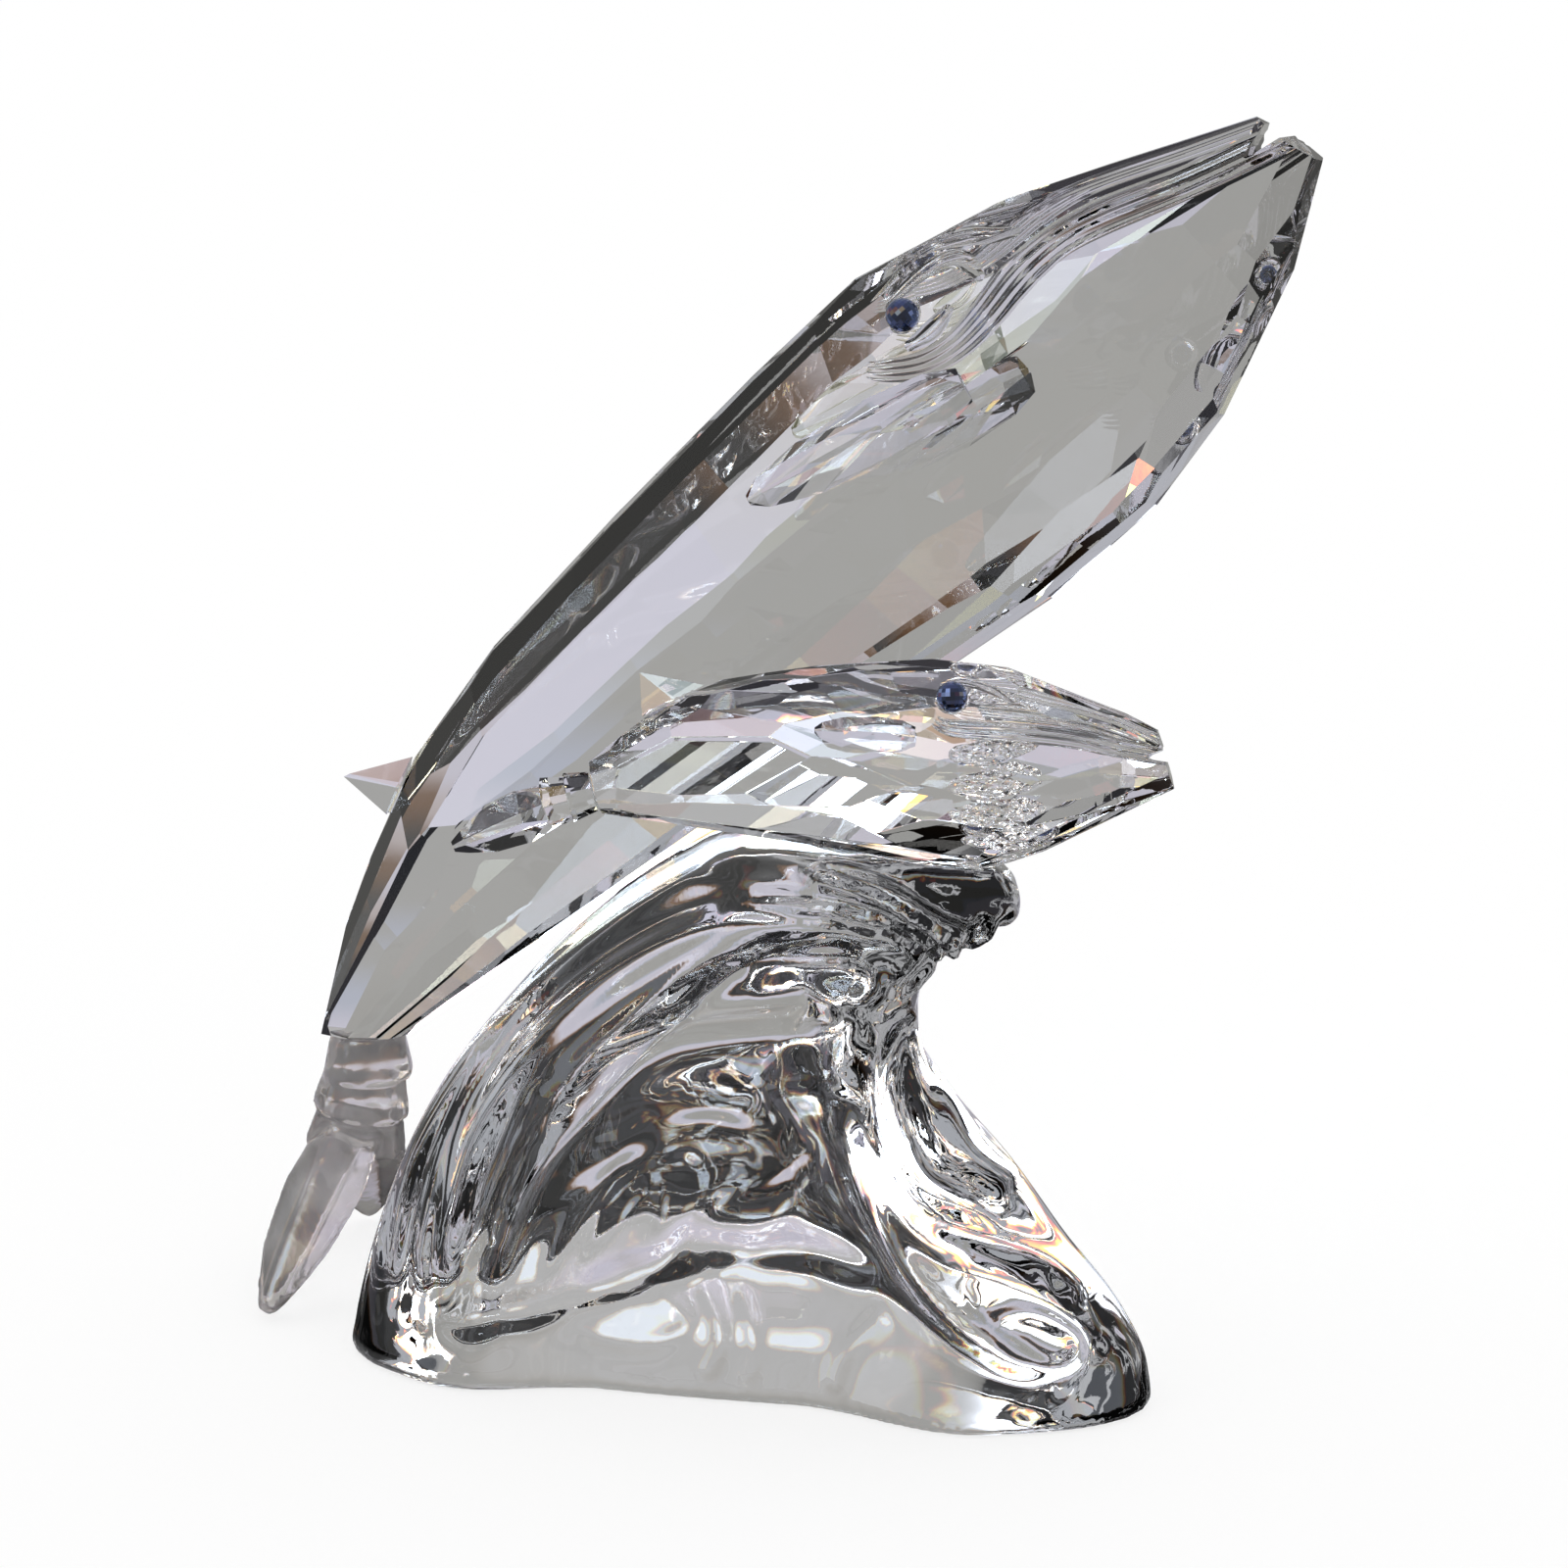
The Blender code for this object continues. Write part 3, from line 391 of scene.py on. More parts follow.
# For each flow line: its points in the front view (x, z), its height outward, its half width, and how far
# apart the ripples beside it lie (0 for one plain ridge), all in mm. A groove has a height below 0.
# Three ridges beside each other, up the wave's left rim and over its back to the crest
RIM_LINES = [
    ([(-40.2, 6.7), (-39.4, 14.3), (-37.4, 21.9), (-32.8, 30.8), (-27, 39.2), (-20.2, 46.2), (-13, 52.2),
      (-6, 56)], 0.8, 1.0, 0),
    ([(-37.8, 6.9), (-36.6, 15.4), (-34.3, 23.9), (-29.9, 32.4), (-23.8, 40.5), (-17, 46.8), (-10, 51.6),
      (-2, 54.4)], 0.9, 1.05, 0),
    ([(-35.2, 8.1), (-33.8, 16.6), (-31.2, 25.5), (-26.5, 33.6), (-20.4, 40.4), (-13.6, 45.6), (-6.2, 49.4),
      (2.5, 52.2)], 1.1, 1.1, 0),
]
# Ridges and grooves that sweep through the dark hollow and end in a hook
HOLLOW_LINES = [
    ([(-33.0, 10.6), (-30.6, 18.6), (-26.5, 27.0), (-21.1, 34.2), (-14.9, 39.8), (-8.7, 43.9),
      (-1.8, 46.6)], -1.1, 1.5, 0),
    ([(-31.0, 9.4), (-27.8, 18.0), (-23.1, 25.9), (-17.2, 32.2), (-11.0, 36.9), (-3.9, 40.1),
      (3.1, 41.6)], 1.0, 1.8, 0),
    ([(-28.9, 10.5), (-25.0, 18.6), (-20.2, 25.1), (-14.2, 30.2), (-7.0, 33.2), (0.2, 34.6),
      (5.8, 36.6)], -0.8, 1.8, 0),
    ([(-26.6, 8.2), (-22.5, 16.8), (-17.4, 22.9), (-11.4, 26.4), (-5.2, 28.4), (0.6, 30.4),
      (5.2, 33.4)], 1.0, 1.9, 0),
    ([(-23.6, 8.2), (-18.9, 15.0), (-13.5, 20.1), (-9.3, 20.6), (-9.4, 16.4), (-13.0, 11.4)], 0.8, 1.2, 0),
    ([(-15.5, 8.6), (-10.2, 13.4), (-5.3, 17.7), (0.2, 21.5), (3.9, 26.0)], 0.8, 1.5, 0),
    ([(-8.2, 11.0), (-3.2, 14.4), (2.4, 19.6)], -0.6, 1.5, 0),
]
# The curl that rolls up below the crest, and the ripples round it
CURL_LINES = [
    ([(-7.5, 44.0), (0.4, 46.8), (6.6, 47.8), (9.8, 46.0), (9.4, 43.1), (4.7, 41.1)], 1.1, 1.0, 0),
    ([(-4, 43.4), (3.6, 44.6), (7.0, 44.8)], -2.4, 1.8, 0),
    ([(16.5, 54), (15.0, 50.0), (10.9, 45), (7.4, 39), (5.6, 33)], 0.9, 1.2, 0),
    ([(2.1, 56.0), (8.9, 54.9), (14.0, 52.5), (18.6, 50.4)], 0.9, 0.9, 2.6),
    ([(8.9, 51.5), (13.2, 49.4), (15.8, 46.6)], -0.9, 0.9, 0),
    ([(-4, 52.2), (4, 53.0), (12, 51.2), (18.5, 47.5)], 0.7, 0.8, 2.0),
    ([(20.5, 54), (18.9, 50.5), (15.4, 47.5), (11.6, 42.5)], 0.9, 0.8, 2.4),
]
# The steep right side, from the crest's neck down to an oval swirl on the foot
RIGHT_LINES = [
    ([(5.4, 32), (7.0, 26.4), (9.8, 19.6), (13.2, 14.6), (18.2, 10.2), (27, 5)], 1.3, 1.3, 0),
    ([(13.7, 41), (11.3, 33.7), (12.6, 27.5), (15.3, 23.3), (23.2, 20.2)], -1.2, 1.6, 0),
    ([(16, 34), (18.5, 27), (24, 22.5)], 0.8, 1.4, 0),
    ([(14.5, 20), (20.0, 18.0), (26.4, 15.2), (31, 11)], 0.9, 1.2, 0),
    ([(16.2, 15.6), (22.0, 13.8), (28.0, 10.8), (32.3, 6)], -0.7, 1.1, 0),
    ([(20.2, 8.8), (23.0, 6.8), (28.0, 6.4), (29.4, 8.4), (25.4, 10.6), (21.2, 10.6),
      (20.2, 8.8)], 0.7, 0.8, 0),
]
# The edge where the hollow meets the clear foot, and faint dents in the foot
FOOT_LINES = [
    ([(-37, 6.4), (-30, 7.6), (-20.0, 9.6), (-9.0, 12.9), (2, 13.6), (11, 13.6)], 0.9, 1.3, 0),
    ([(-21.8, 7.8), (-19, 5.6), (-13, 5.4), (-9.8, 7.4), (-13, 9.4), (-19, 9.4), (-21.8, 7.8)], 0.3, 0.8, 0),
    ([(-8.6, 11), (-6.4, 6.5), (-8.2, 2)], 0.45, 0.9, 0),
    ([(-4.6, 11), (-3.0, 6), (-3.6, 2)], 0.3, 0.8, 0),
    ([(10.5, 10.5), (6, 5.5), (5, 1.5)], 0.5, 1.0, 0),
]
# Two low, wide ridges on the plain back
BACK_LINES = [
    ([(-33, 8), (-28, 24), (-18, 40), (-4, 51)], 0.5, 2.6, 0),
    ([(-9, 8), (-6, 20), (2, 34), (14, 46)], 0.5, 2.8, 0),
]
FRONT_LINES = RIM_LINES + HOLLOW_LINES + CURL_LINES + RIGHT_LINES + FOOT_LINES
print("flow lines:", len(FRONT_LINES), "in front,", len(BACK_LINES), "behind")

# %% Curves and soft steps


def line_through(points, step=0.35):
    """A smooth line through a few points, as points about step apart."""
    points = np.array(points, float)
    ends = np.vstack([2 * points[0] - points[1], points, 2 * points[-1] - points[-2]])
    line = []
    for a, b, c, d in zip(ends, ends[1:], ends[2:], ends[3:]):
        count = max(2, int(np.linalg.norm(c - b) / step))
        t = np.linspace(0, 1, count, endpoint=False)[:, None]
        curve = 2 * b + (c - a) * t + (2 * a - 5 * b + 4 * c - d) * t**2 + (3 * b - a - 3 * c + d) * t**3
        line.append(0.5 * curve)
    return np.vstack(line + [points[-1:]])


def smooth_step(low, high, x):
    t = np.clip((x - low) / (high - low), 0, 1)
    return t * t * (3 - 2 * t)


print("first rim line:", len(line_through(RIM_LINES[0][0])), "points")

# %% Pressing lines into a skin
# The share of a line over which it fades at each end, and what is left of it at its very tip
LINE_FADE, LINE_TIP = 0.12, 0.15


def press_lines(points, normals, lines, facing):
    """Moves points along their normals where flow lines pass, only where the surface faces that way."""
    flat = points[:, [0, 2]]
    shift = np.zeros(len(points))
    for line, height, half_width, ripple in lines:
        line = line_through(line)
        reach = 4.0 if ripple else 3.0
        low, high = line.min(0) - reach * half_width, line.max(0) + reach * half_width
        near = np.where((facing > 0) & ((flat > low) & (flat < high)).all(1))[0]
        if not len(near):
            continue
        spans = np.linalg.norm(flat[near, None, :] - line[None, :, :], axis=2)
        at = spans.argmin(1)
        distance, along = spans[np.arange(len(near)), at], at / (len(line) - 1)
        ends = smooth_step(0, LINE_FADE, along) * smooth_step(0, LINE_FADE, 1 - along)
        bump = np.exp(-((distance / half_width) ** 2))
        if ripple:
            bump = np.exp(-((distance / (2.2 * half_width)) ** 2)) * np.cos(2 * np.pi * distance / ripple)
        shift[near] += height * bump * np.maximum(ends, LINE_TIP) * facing[near]
    return points + normals * shift[:, None]


print("lines fade over", LINE_FADE, "of their length at each end")

# %% Fire-polishing
STEP_IN = 0.5


def fire_polish(points, edges, rounds, back_step):
    """Smooths small marks away and keeps larger forms: each step in has a step back out."""
    degree = np.bincount(edges.ravel(), minlength=len(points))[:, None]
    for i in range(2 * rounds):
        total = np.zeros_like(points)
        for axis in range(3):
            total[:, axis] = np.bincount(edges[:, 0], points[edges[:, 1], axis], len(points))
            total[:, axis] += np.bincount(edges[:, 1], points[edges[:, 0], axis], len(points))
        points = points + (STEP_IN if i % 2 == 0 else back_step) * (total / degree - points)
    return points


print("a step in goes", STEP_IN, "of the way to the middle of a point's neighbours")

# %% Pieces that stand for frame nodes


def fresh_copy(node, name):
    """A new object with a copy of a frame node's mesh, which stands for that node."""
    mesh = nodes[node].data.copy()
    mesh.name = name
    piece = bpy.data.objects.new(name, mesh)
    scene.collection.objects.link(piece)
    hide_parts(node)
    return piece


def apply_modifiers(piece):
    bpy.ops.object.select_all(action="DESELECT")
    piece.select_set(True)
    bpy.context.view_layer.objects.active = piece
    for modifier in list(piece.modifiers):
        bpy.ops.object.modifier_apply(modifier=modifier.name)


def finish_piece(piece, material, smooth=True):
    """Shades a finished piece, gives it its material and fixes it to the figurine's one body."""
    piece.data.materials.clear()
    piece.data.materials.append(material)
    piece.data.polygons.foreach_set("use_smooth", [smooth] * len(piece.data.polygons))
    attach(piece, "root")


print("nodes to finish:", ", ".join(nodes))

# %% A fine skin over the wave
wave = fresh_copy("wave_base", "wave")
skin = wave.modifiers.new("fine skin", "REMESH")
skin.mode, skin.voxel_size, skin.adaptivity = "VOXEL", WAVE_VOXEL, 0.0
apply_modifiers(wave)
wave.data.update()
print("wave skin:", len(wave.data.polygons), "faces")

# %% Polish the skin
# Rounds of polish and the step back out of each: the plain back is polished smoother than the front
ALL_OVER = (70, -0.53)
PLAIN_BACK = (110, -0.508)
count = len(wave.data.vertices)
points, normals = np.empty(3 * count), np.empty(3 * count)
edges = np.empty(2 * len(wave.data.edges), int)
wave.data.vertices.foreach_get("co", points)
wave.data.edges.foreach_get("vertices", edges)
edges = edges.reshape(-1, 2)
points = fire_polish(points.reshape(-1, 3) / MM, edges, *ALL_OVER)
wave.data.vertices.foreach_set("co", (points * MM).ravel())
wave.data.update()
wave.data.vertex_normals.foreach_get("vector", normals)
normals = normals.reshape(-1, 3)
plain_back = smooth_step(0.0, 0.4, normals[:, 1]) * smooth_step(1.0, 4.0, points[:, 2])
points += (fire_polish(points, edges, *PLAIN_BACK) - points) * plain_back[:, None]
print("wave height after polish:", round(points[:, 2].max(), 1), "mm")

# %% Press the flow lines
FLAT_FOOT = 0.35
off_foot = smooth_step(0.3, 2.5, points[:, 2])
# The seat under the mother keeps its shape.
off_seat = 1 - smooth_step(0.5, 0.8, normals[:, 2]) * smooth_step(0.0, 6.0, points[:, 1])
front = smooth_step(-0.1, 0.35, -normals[:, 1]) * off_foot
back = smooth_step(-0.1, 0.35, normals[:, 1]) * off_foot * off_seat
points = press_lines(points, normals, FRONT_LINES, front)
points = press_lines(points, normals, BACK_LINES, back)
# The lowest points are ground off flat, so that the wave stands.
points[:, 2] = np.where(points[:, 2] < FLAT_FOOT, 0.0, points[:, 2])
wave.data.vertices.foreach_set("co", (points * MM).ravel())
settle = wave.modifiers.new("settle", "SMOOTH")
settle.factor, settle.iterations = 0.5, 3
apply_modifiers(wave)
finish_piece(wave, crystal)
print("wave:", len(wave.data.polygons), "faces")

# %% [markdown]
# ## Whale blocks
#
# A cutter saws a block and grinds flat facets on it, row by row. Their angles decide which facet mirrors a card
# and which shows the table's painted shade. The uncut block is the convex hull of the frame's body, since a
# ground block has no hollows. Each further facet is one plane cut through the block, as on a grinding wheel,
# and the same on both sides. The bisect operator could do this in edit mode, one selection after another. bmesh
# makes the same cut from a place and a direction alone, so a list of facets is enough.

# %% A hull, and a whale's block


def keep_hull(bm):
    """Wraps loose points in their convex hull and drops those that lie inside it."""
    hull = bmesh.ops.convex_hull(bm, input=bm.verts)
    inside = [item for item in hull["geom_interior"] if isinstance(item, bmesh.types.BMVert)]
    bmesh.ops.delete(bm, geom=inside, context="VERTS")
    loose = [vert for vert in bm.verts if not vert.link_faces]
    bmesh.ops.delete(bm, geom=loose, context="VERTS")


class Whale:
    """A whale's own frame (x to the snout, y to its left, z to its back) and its uncut block in that frame."""

    # The share of the length past which the snout is too narrow for a cut to follow
    SNOUT_END = 0.972
    # How far, in degrees, the facets of one row lean apart
    ROW_SPREAD = 6

    def __init__(self, name, origin, pitch, yaw, roll, length, depth, width):
        self.name, self.length, self.depth, self.width = name, length, depth, width
        turn = Matrix.Rotation(-math.radians(yaw), 4, "Z") @ Matrix.Rotation(-math.radians(pitch), 4, "Y")
        self.matrix = Matrix.Translation(origin) @ turn @ Matrix.Rotation(-math.radians(roll), 4, "X")
        self.block = bmesh.new()
        for vertex in nodes[f"{name}_body"].data.vertices:
            self.block.verts.new(self.matrix.inverted() @ vertex.co)
        keep_hull(self.block)
        bmesh.ops.dissolve_limit(
            self.block, angle_limit=math.radians(1.2), verts=self.block.verts, edges=self.block.edges
        )
        self.tree = BVHTree.FromBMesh(self.block)

    def regrind(self, angle, deeper):
        """Grinds the row of facets at an angle above the flank a little deeper, on both sides."""
        cuts = []
        for face in self.block.faces:
            lean = math.degrees(math.atan2(face.normal.z, abs(face.normal.y)))
            if abs(lean - angle) < self.ROW_SPREAD and abs(face.normal.x) < 0.6:
                cuts.append((face.calc_center_median() - face.normal * deeper, face.normal.copy()))
        for place, normal in cuts:
            self.slice(place, normal)
        self.tree = BVHTree.FromBMesh(self.block)
        print(self.name, "row at", angle, "reground:", len(cuts), "facets")

    def grind(self, place, lean, turn):
        """Grinds one more facet on each side, through the flank at a place, turned towards the snout."""
        lean, turn = math.radians(lean), math.radians(turn)
        spots = []
        for side in (-1, 1):
            spot = self.at(*place)
            spot.y = side * self.flank(spot.x, spot.z, side)
            facing = Vector(
                (math.sin(turn), side * math.cos(turn) * math.cos(lean), math.cos(turn) * math.sin(lean))
            )
            spots.append((spot, facing))
        for spot, facing in spots:
            self.slice(spot, facing)
        self.tree = BVHTree.FromBMesh(self.block)

    def slice(self, place, facing):
        parts = self.block.verts[:] + self.block.edges[:] + self.block.faces[:]
        cut = bmesh.ops.bisect_plane(
            self.block, geom=parts, plane_co=place, plane_no=facing, clear_outer=True
        )
        edges = [item for item in cut["geom_cut"] if isinstance(item, bmesh.types.BMEdge)]
        bmesh.ops.edgeloop_fill(self.block, edges=edges)

    def flank(self, x, z, side):
        """How far out the uncut flank lies at (x, z), measured to that side."""
        start = Vector((min(x, self.SNOUT_END * self.length), side * self.width, z))
        hit = self.tree.ray_cast(start, Vector((0, -side, 0)))[0]
        return side * hit.y if hit else 0.0

    def at(self, along, up):
        return Vector((along * self.length, 0, up * self.depth))


print("one row's facets lean at most", Whale.ROW_SPREAD, "degrees apart")

# %% [markdown]
# ## Carving tools
#
# Lips, lids and eye sockets are cut after the facets, with small round wheels. Here each cut is a solid that
# follows the flank at a set depth and is taken away with a Boolean. So the facets round it stay flat, and the
# carving keeps the same depth however the flank turns. No operator makes a solid that follows another surface,
# so these tools are built from their points.

# %% A tool that follows the flank
# How far a tool's outer side stands off the flank
TOOL_CLEARANCE = 3 * MM


def solid_from(bm, name, matrix):
    """A new object of a bmesh given in a frame, with the place in its mesh."""
    bmesh.ops.transform(bm, matrix=matrix, verts=bm.verts)
    bmesh.ops.recalc_face_normals(bm, faces=bm.faces)
    mesh = bpy.data.meshes.new(name)
    bm.to_mesh(mesh)
    bm.free()
    solid = bpy.data.objects.new(name, mesh)
    scene.collection.objects.link(solid)
    return solid


def carving_tool(whale, name, path, half_widths, profile, side):
    """A solid that lies on a flank along a path and reaches into it by profile(across, along), in mm.

    path has (share of the length, share of the depth), half_widths mm for each, and across runs from -1 to 1.
    """
    stations, lanes = 72, 33
    keys = np.array([(*whale.at(*place).xz, wide * MM) for place, wide in zip(path, half_widths)])
    line = line_through(keys / MM, 0.02) * MM
    line = line[np.linspace(0, len(line) - 1, stations).astype(int)]
    tangent = np.gradient(line[:, :2], axis=0)
    tangent /= np.linalg.norm(tangent, axis=1)[:, None]
    bm = bmesh.new()
    inner, outer = [], []
    for i, ((x, z, wide), (tx, tz)) in enumerate(zip(line, tangent)):
        rows = ([], [])
        for k in range(lanes):
            across = 2 * k / (lanes - 1) - 1
            px, pz = x - tz * wide * across, z + tx * wide * across
            out = whale.flank(px, pz, side)
            rows[0].append(bm.verts.new((px, side * (out - profile(across, i / (stations - 1)) * MM), pz)))
            rows[1].append(bm.verts.new((px, side * (out + TOOL_CLEARANCE), pz)))
        inner.append(rows[0])
        outer.append(rows[1])
    for sheet in (inner, outer):
        for below, above in zip(sheet, sheet[1:]):
            for k in range(lanes - 1):
                bm.faces.new((below[k], below[k + 1], above[k + 1], above[k]))
    rim_in, rim_out = (
        rows[0] + [row[-1] for row in rows[1:-1]] + rows[-1][::-1] + [row[0] for row in rows[-2:0:-1]]
        for rows in (inner, outer)
    )
    for k in range(len(rim_in)):
        j = (k + 1) % len(rim_in)
        bm.faces.new((rim_in[k], rim_in[j], rim_out[j], rim_out[k]))
    return solid_from(bm, name, whale.matrix)


print("tools stand", round(TOOL_CLEARANCE / MM), "mm off the flank")

# %% Profiles of the cuts


def lips(count, deep):
    """Soft parallel ridges, even across the band, that fade into the flank at its borders and its far end."""

    def profile(across, along):
        share = (across + 1) / 2
        ridges = 0.12 + deep * (0.5 - 0.5 * math.cos(2 * math.pi * count * share))
        border = max(0.0, (abs(across) - 0.86) / 0.14)
        fade = min(1.0, along / 0.10)
        return ridges * (1 - border) * fade - 0.25 * border - 0.25 * (1 - fade)

    return profile


def dish(deep):
    """A single soft hollow, deepest in its middle."""

    def profile(across, along):
        round_off = (1 - across**2) * (1 - (2 * along - 1) ** 4)
        return deep * round_off - 0.12

    return profile


print("in its middle, a dish of 0.9 cuts", round(dish(0.9)(0.0, 0.5), 2), "mm deep")

# %% Jaw notch, eye socket and glue
SNOUT_TIP = 0.976


def wedge(whale, deep, up, wide):
    """The notch that parts the jaws at the tip of the snout."""
    tip = whale.at(SNOUT_TIP, up)
    corners = [
        (-deep, 0.0), (-0.8 * deep, 0.14 * deep), (deep, 0.75 * deep), (deep, -0.45 * deep),
        (-0.8 * deep, -0.10 * deep),
    ]
    bm = bmesh.new()
    ends = [
        [bm.verts.new((tip.x + x * MM, side * wide * MM, tip.z + z * MM)) for x, z in corners]
        for side in (-1, 1)
    ]
    bm.faces.new(ends[0])
    bm.faces.new(ends[1][::-1])
    for k in range(len(corners)):
        j = (k + 1) % len(corners)
        bm.faces.new((ends[0][k], ends[1][k], ends[1][j], ends[0][j]))
    return solid_from(bm, f"{whale.name} notch", whale.matrix)


def socket(name, gap):
    """A ball a little larger than an eye bead, round its middle."""
    low, high = (Vector(corner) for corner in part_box(name))
    bm = bmesh.new()
    bmesh.ops.create_uvsphere(bm, u_segments=32, v_segments=20, radius=(high - low).z / 2 + gap)
    return solid_from(bm, f"{name} socket", Matrix.Translation((low + high) / 2))


def glue_patch(whale, name, place, half_sizes, side):
    """A flat drop of glue on a flank, in mm: half its length, height and thickness, with a bubbly skin."""
    centre = whale.at(*place)
    centre.y = side * (whale.flank(centre.x, centre.z, side) - 0.1 * MM)
    half_long, half_high, half_thick = half_sizes
    bm = bmesh.new()
    bmesh.ops.create_uvsphere(bm, u_segments=72, v_segments=44, radius=1.0)
    for vert in bm.verts:
        x, y, z = vert.co
        grain = math.sin(8.3 * x + 2.7 * z + place[1] * 40) * math.sin(5.3 * z - 3.9 * x)
        grain += 0.5 * math.sin(13 * x - 6 * z)
        swell = 1 + 0.10 * math.sin(5 * x + 7 * place[1] * 10) + 0.5 * grain * (1 - abs(x) ** 3)
        vert.co = (x * half_long, y * half_thick * swell, z * half_high * (1 + 0.08 * math.sin(6 * x)))
        vert.co *= MM
    return solid_from(bm, name, whale.matrix @ Matrix.Translation(centre))


print("the jaws part at", SNOUT_TIP, "of a whale's length")

# %% Cutting the tools out of a block
EDGE_POLISH = 0.05 * MM
SHARP_EDGE = math.radians(42)
# A face that lies this close to the uncut block is one of its facets, and any other is carved.
ON_BLOCK = 0.004 * MM


def carve(whale, tools, drops=()):
    """Makes the body's piece: the block with its edges polished, the tools cut out and the drops joined on."""
    block = whale.block.copy()
    bmesh.ops.bevel(
        block, geom=block.edges[:], offset=EDGE_POLISH, offset_type="OFFSET", segments=1, affect="EDGES",
        clamp_overlap=True,
    )
    piece = solid_from(block, f"{whale.name}_cut_body", whale.matrix)
    corners, faces = [v.co for v in piece.data.vertices], [p.vertices for p in piece.data.polygons]
    skin = BVHTree.FromPolygons(corners, faces)
    for tool in tools:
        cut = piece.modifiers.new(tool.name, "BOOLEAN")
        cut.operation, cut.solver, cut.object = "DIFFERENCE", "MANIFOLD", tool
    for drop in drops:
        stuck = piece.modifiers.new(drop.name, "BOOLEAN")
        stuck.operation, stuck.solver, stuck.object = "UNION", "MANIFOLD", drop
    apply_modifiers(piece)
    for tool in [*tools, *drops]:
        bpy.data.objects.remove(tool)
    piece.data.set_sharp_from_angle(angle=SHARP_EDGE)
    finish_piece(piece, crystal, smooth=False)
    for polygon in piece.data.polygons:
        polygon.use_smooth = skin.find_nearest(polygon.center)[3] > ON_BLOCK
    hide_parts(f"{whale.name}_body")
    print(piece.name, len(piece.data.polygons), "faces")


print("facet edges are polished", round(EDGE_POLISH / MM, 2), "mm wide")

# %% [markdown]
# ## Mother's body
#
# Her body is the largest block: long quiet facets along the flank, a row beside the back that shows the table's
# painted shade, and carving only round the mouth and eye. The back row is ground a little deeper than the solid
# has it, and two facets are added under the chin. The lips are four soft ridges that run from the eye to the
# snout.

# %% Mother's block
MOTHER = Whale(
    "mother", origin=(-0.04492, 0.02015, 0.02758), pitch=45.0, yaw=14.0, roll=6.0,
    length=0.142, depth=0.0375, width=0.027,
)
BACK_ROW, BACK_ROW_DEEPER = 50, 0.45 * MM
MOTHER.regrind(BACK_ROW, BACK_ROW_DEEPER)
CHIN_FACETS = [((0.84, -0.10), -12, 8), ((0.73, -0.12), -8, 5)]
for place, lean, turn in CHIN_FACETS:
    MOTHER.grind(place, lean, turn)
print("mother's block:", len(MOTHER.block.faces), "facets")

# %% Mother's carving
# Places are shares of the whale's length and of its depth, and widths are in mm.
MOTHER_LIPS = [
    (0.655, 0.34), (0.669, 0.285), (0.693, 0.223), (0.719, 0.199), (0.746, 0.203), (0.776, 0.222),
    (0.797, 0.228), (0.822, 0.222), (0.852, 0.190), (0.903, 0.115), (0.955, 0.050), (0.990, 0.010),
]
MOTHER_LIP_WIDTHS = [0.8, 1.2, 1.5, 1.7, 2.0, 2.2, 2.2, 2.1, 2.1, 1.9, 1.8, 1.7]
MOTHER_LID = [(0.690, 0.415), (0.708, 0.425), (0.734, 0.420), (0.752, 0.385), (0.760, 0.320), (0.762, 0.275)]
MOTHER_BROW = [(0.722, 0.482), (0.742, 0.468), (0.762, 0.425), (0.780, 0.370), (0.800, 0.318)]
MOTHER_CHEEK = [(0.690, 0.290), (0.712, 0.275), (0.735, 0.290)]
SOCKET_GAP = 0.25 * MM
tools = [wedge(MOTHER, 4.0, 0.055, 12)]
for side_name, side in (("right", -1), ("left", 1)):
    for cut, path, widths, profile in (
        ("lips", MOTHER_LIPS, MOTHER_LIP_WIDTHS, lips(4, 0.75)),
        ("lid", MOTHER_LID, [0.5, 0.8, 1.0, 1.0, 0.8, 0.5], dish(0.9)),
        ("brow", MOTHER_BROW, [0.4, 0.8, 1.0, 0.9, 0.5], dish(0.8)),
        ("cheek", MOTHER_CHEEK, [0.6, 1.2, 0.6], dish(0.7)),
    ):
        tools.append(carving_tool(MOTHER, f"mother {cut} {side_name}", path, widths, profile, side))
    tools.append(socket(f"mother_eye_{side_name}", SOCKET_GAP))
print("mother's carving:", len(tools), "tools")
carve(MOTHER, tools)

# %% [markdown]
# ## Calf's body
#
# The calf is cut from a small block with many small facets, and so it glitters where the mother is calm. Its
# facets are ground at spread-out angles, because then each one mirrors another part of the room. Three beads
# of clear glue a side hold the flippers. They are joined to the body, so that no glass lies inside other glass.

# %% Calf's block
CALF = Whale(
    "calf", origin=(-0.01828, -0.02217, 0.06502), pitch=4.2, yaw=8.0, roll=14.0,
    length=0.057, depth=0.020, width=0.017,
)
# Each facet: its place on the flank, its lean towards the back and its turn towards the snout, in degrees
CALF_FACETS = [
    ((0.38, 0.26), 36, -7), ((0.47, 0.30), 42, 1), ((0.30, 0.16), 24, -11), ((0.42, 0.10), 14, -4),
    ((0.53, 0.12), 16, 4), ((0.60, -0.10), -12, 6), ((0.36, -0.12), -16, -7), ((0.48, -0.25), -34, 0),
    ((0.76, -0.08), -9, 11), ((0.83, 0.02), 10, 15), ((0.70, -0.28), -40, 7), ((0.86, -0.16), -27, 17),
    ((0.56, 0.36), 52, 4), ((0.26, -0.05), -4, -13),
]
for place, lean, turn in CALF_FACETS:
    CALF.grind(place, lean, turn)
print("calf's block:", len(CALF.block.faces), "facets")

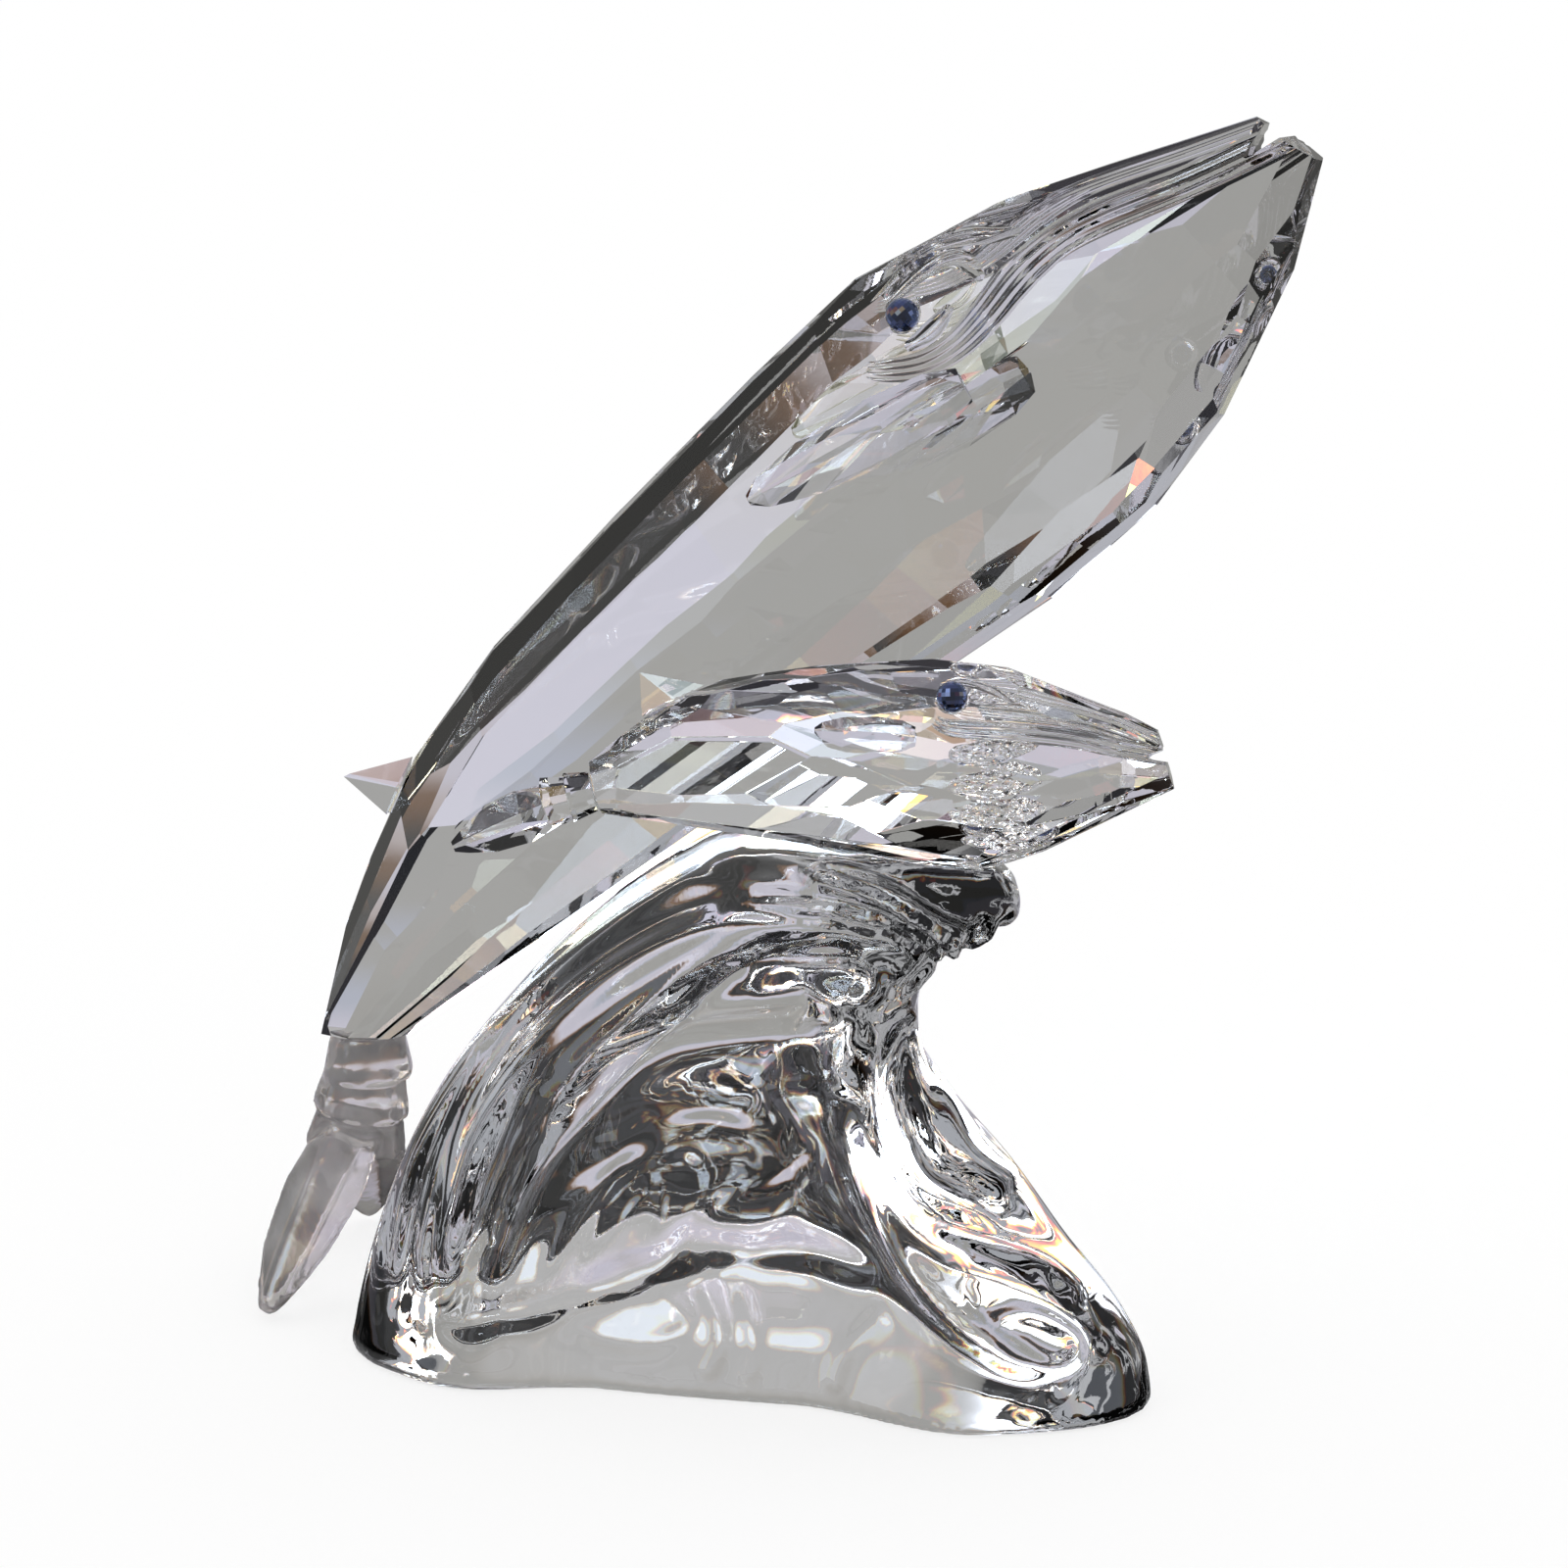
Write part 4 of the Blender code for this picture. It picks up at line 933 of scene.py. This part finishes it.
# %% Calf's carving
CALF_LIPS = [
    (0.590, 0.285), (0.615, 0.235), (0.646, 0.215), (0.724, 0.195), (0.821, 0.155), (0.90, 0.098), (0.99, 0.04),
]
CALF_LIP_WIDTHS = [0.5, 0.8, 0.95, 1.1, 1.1, 1.0, 0.9]
CALF_BROW = [(0.600, 0.425), (0.640, 0.445), (0.690, 0.400), (0.730, 0.320)]
tools = [wedge(CALF, 2.0, 0.05, 8)]
for side_name, side in (("right", -1), ("left", 1)):
    for cut, path, widths, profile in (
        ("lips", CALF_LIPS, CALF_LIP_WIDTHS, lips(3, 0.40)),
        ("brow", CALF_BROW, [0.3, 0.5, 0.5, 0.3], dish(0.45)),
    ):
        tools.append(carving_tool(CALF, f"calf {cut} {side_name}", path, widths, profile, side))
    tools.append(socket(f"calf_eye_{side_name}", SOCKET_GAP))
print("calf's carving:", len(tools), "tools")

# %% Glue beads, and the calf's finished body
# Each bead of glue: its place on the flank, and half its length in mm
GLUE_BEADS = [((0.673, 0.090), 3.1), ((0.674, -0.050), 3.3), ((0.673, -0.182), 3.2)]
chain = []
for side_name, side in (("right", -1), ("left", 1)):
    for i, (place, half_length) in enumerate(GLUE_BEADS):
        chain.append(glue_patch(CALF, f"calf glue {side_name} {i}", place, (half_length, 1.2, 1.0), side))
carve(CALF, tools, chain)

# %% [markdown]
# ## Fins, flippers and the calf's tail
#
# On the real figurine these are small leaves of cut glass, glued on. A thin leaf alone shows as a flat grey
# shape. Narrow facets along its edges catch the cards and give it life, so every sharp edge gets a bevel, and
# the bevel's own edges a hair-thin one. The mother's flippers are thicker. They first get a ridge along the
# outer face, with a steep facet above it and a wide one below.

# %% A ridge along a flipper
# Places along the flipper, as a share of its length, and the share of the ridge's height there
RIDGE = ((0.06, 0.75), (0.16, 1.0), (0.60, 1.0), (0.80, 0.55))


def add_gable(leaf, whale, side, height):
    """Raises a ridge along a leaf's outer face, with a steep facet above it and a wide one below."""
    bm = bmesh.new()
    inward = whale.matrix.inverted()
    for vertex in leaf.data.vertices:
        bm.verts.new(inward @ vertex.co)
    places = np.array([vert.co for vert in bm.verts])
    middle = places.mean(0)
    axes = np.linalg.svd(places - middle)[2]
    run, across, out = (Vector(axis) for axis in axes)
    out = out if out.y * side > 0 else -out
    across = across if across.z > 0 else -across
    spans = (places - middle) @ axes[0]
    for share, lift in RIDGE:
        along = spans.max() - share * (spans.max() - spans.min())
        if run.x < 0:
            along = spans.min() + share * (spans.max() - spans.min())
        high = 0.44 * ((places - middle) @ np.array(across)).max()
        bm.verts.new(Vector(middle) + run * along + across * high + out * (lift * height + 0.3 * MM))
    keep_hull(bm)
    bmesh.ops.dissolve_limit(bm, angle_limit=math.radians(4), verts=bm.verts, edges=bm.edges)
    bmesh.ops.transform(bm, matrix=whale.matrix, verts=bm.verts)
    bmesh.ops.recalc_face_normals(bm, faces=bm.faces)
    bm.to_mesh(leaf.data)
    bm.free()


print("the ridge has", len(RIDGE), "points")

# %% Cut the leaves
# The width of each leaf's edge facets, in mm
LEAF_FACETS = {
    "mother_flipper_right": 0.7, "mother_flipper_left": 0.7, "mother_dorsal_fin": 0.35,
    "calf_flipper_right": 0.3, "calf_flipper_left": 0.3, "calf_dorsal_fin": 0.25, "calf_tail": 0.3,
}
RIDGE_HEIGHT = 1.7 * MM
for name, facet in LEAF_FACETS.items():
    leaf = fresh_copy(name, f"{name}_cut")
    if "mother_flipper" in name:
        add_gable(leaf, MOTHER, -1 if "right" in name else 1, RIDGE_HEIGHT)
    for title, width, angle in (("edge facets", facet, 14), ("small facets", 0.06, 12)):
        bevel = leaf.modifiers.new(title, "BEVEL")
        bevel.width, bevel.segments = width * MM, 1
        bevel.limit_method, bevel.angle_limit = "ANGLE", math.radians(angle)
    apply_modifiers(leaf)
    finish_piece(leaf, crystal, smooth=False)
    print(leaf.name, len(leaf.data.polygons), "faces")

# %% [markdown]
# ## Mother's tail
#
# Her tail isn't cut. It was pressed in a mould, and has a stepped stem and two soft flukes with a satin skin. A
# fine skin over the solid, swelled a little and then smoothed, keeps the steps but takes off every sharp edge.

# %% Press the tail
tail = fresh_copy("mother_tail", "mother_tail_pressed")
skin = tail.modifiers.new("fine skin", "REMESH")
skin.mode, skin.voxel_size, skin.adaptivity = "VOXEL", 0.3 * MM, 0.0
plump = tail.modifiers.new("plump", "DISPLACE")
plump.strength, plump.mid_level = 0.45 * MM, 0.0
soft = tail.modifiers.new("pressed soft", "SMOOTH")
soft.factor, soft.iterations = 0.5, 12
apply_modifiers(tail)
finish_piece(tail, satin)
print(tail.name, len(tail.data.polygons), "faces")

# %% [markdown]
# ## Light paths
#
# Light crosses many glass surfaces here: in one flank, out of the other, through the wave and back. With few
# bounces such paths end in black, so they are given 20.

# %% Light paths
BOUNCES = 20
scene.cycles.max_bounces = BOUNCES
scene.cycles.transmission_bounces = BOUNCES
print("light paths:", BOUNCES, "bounces")
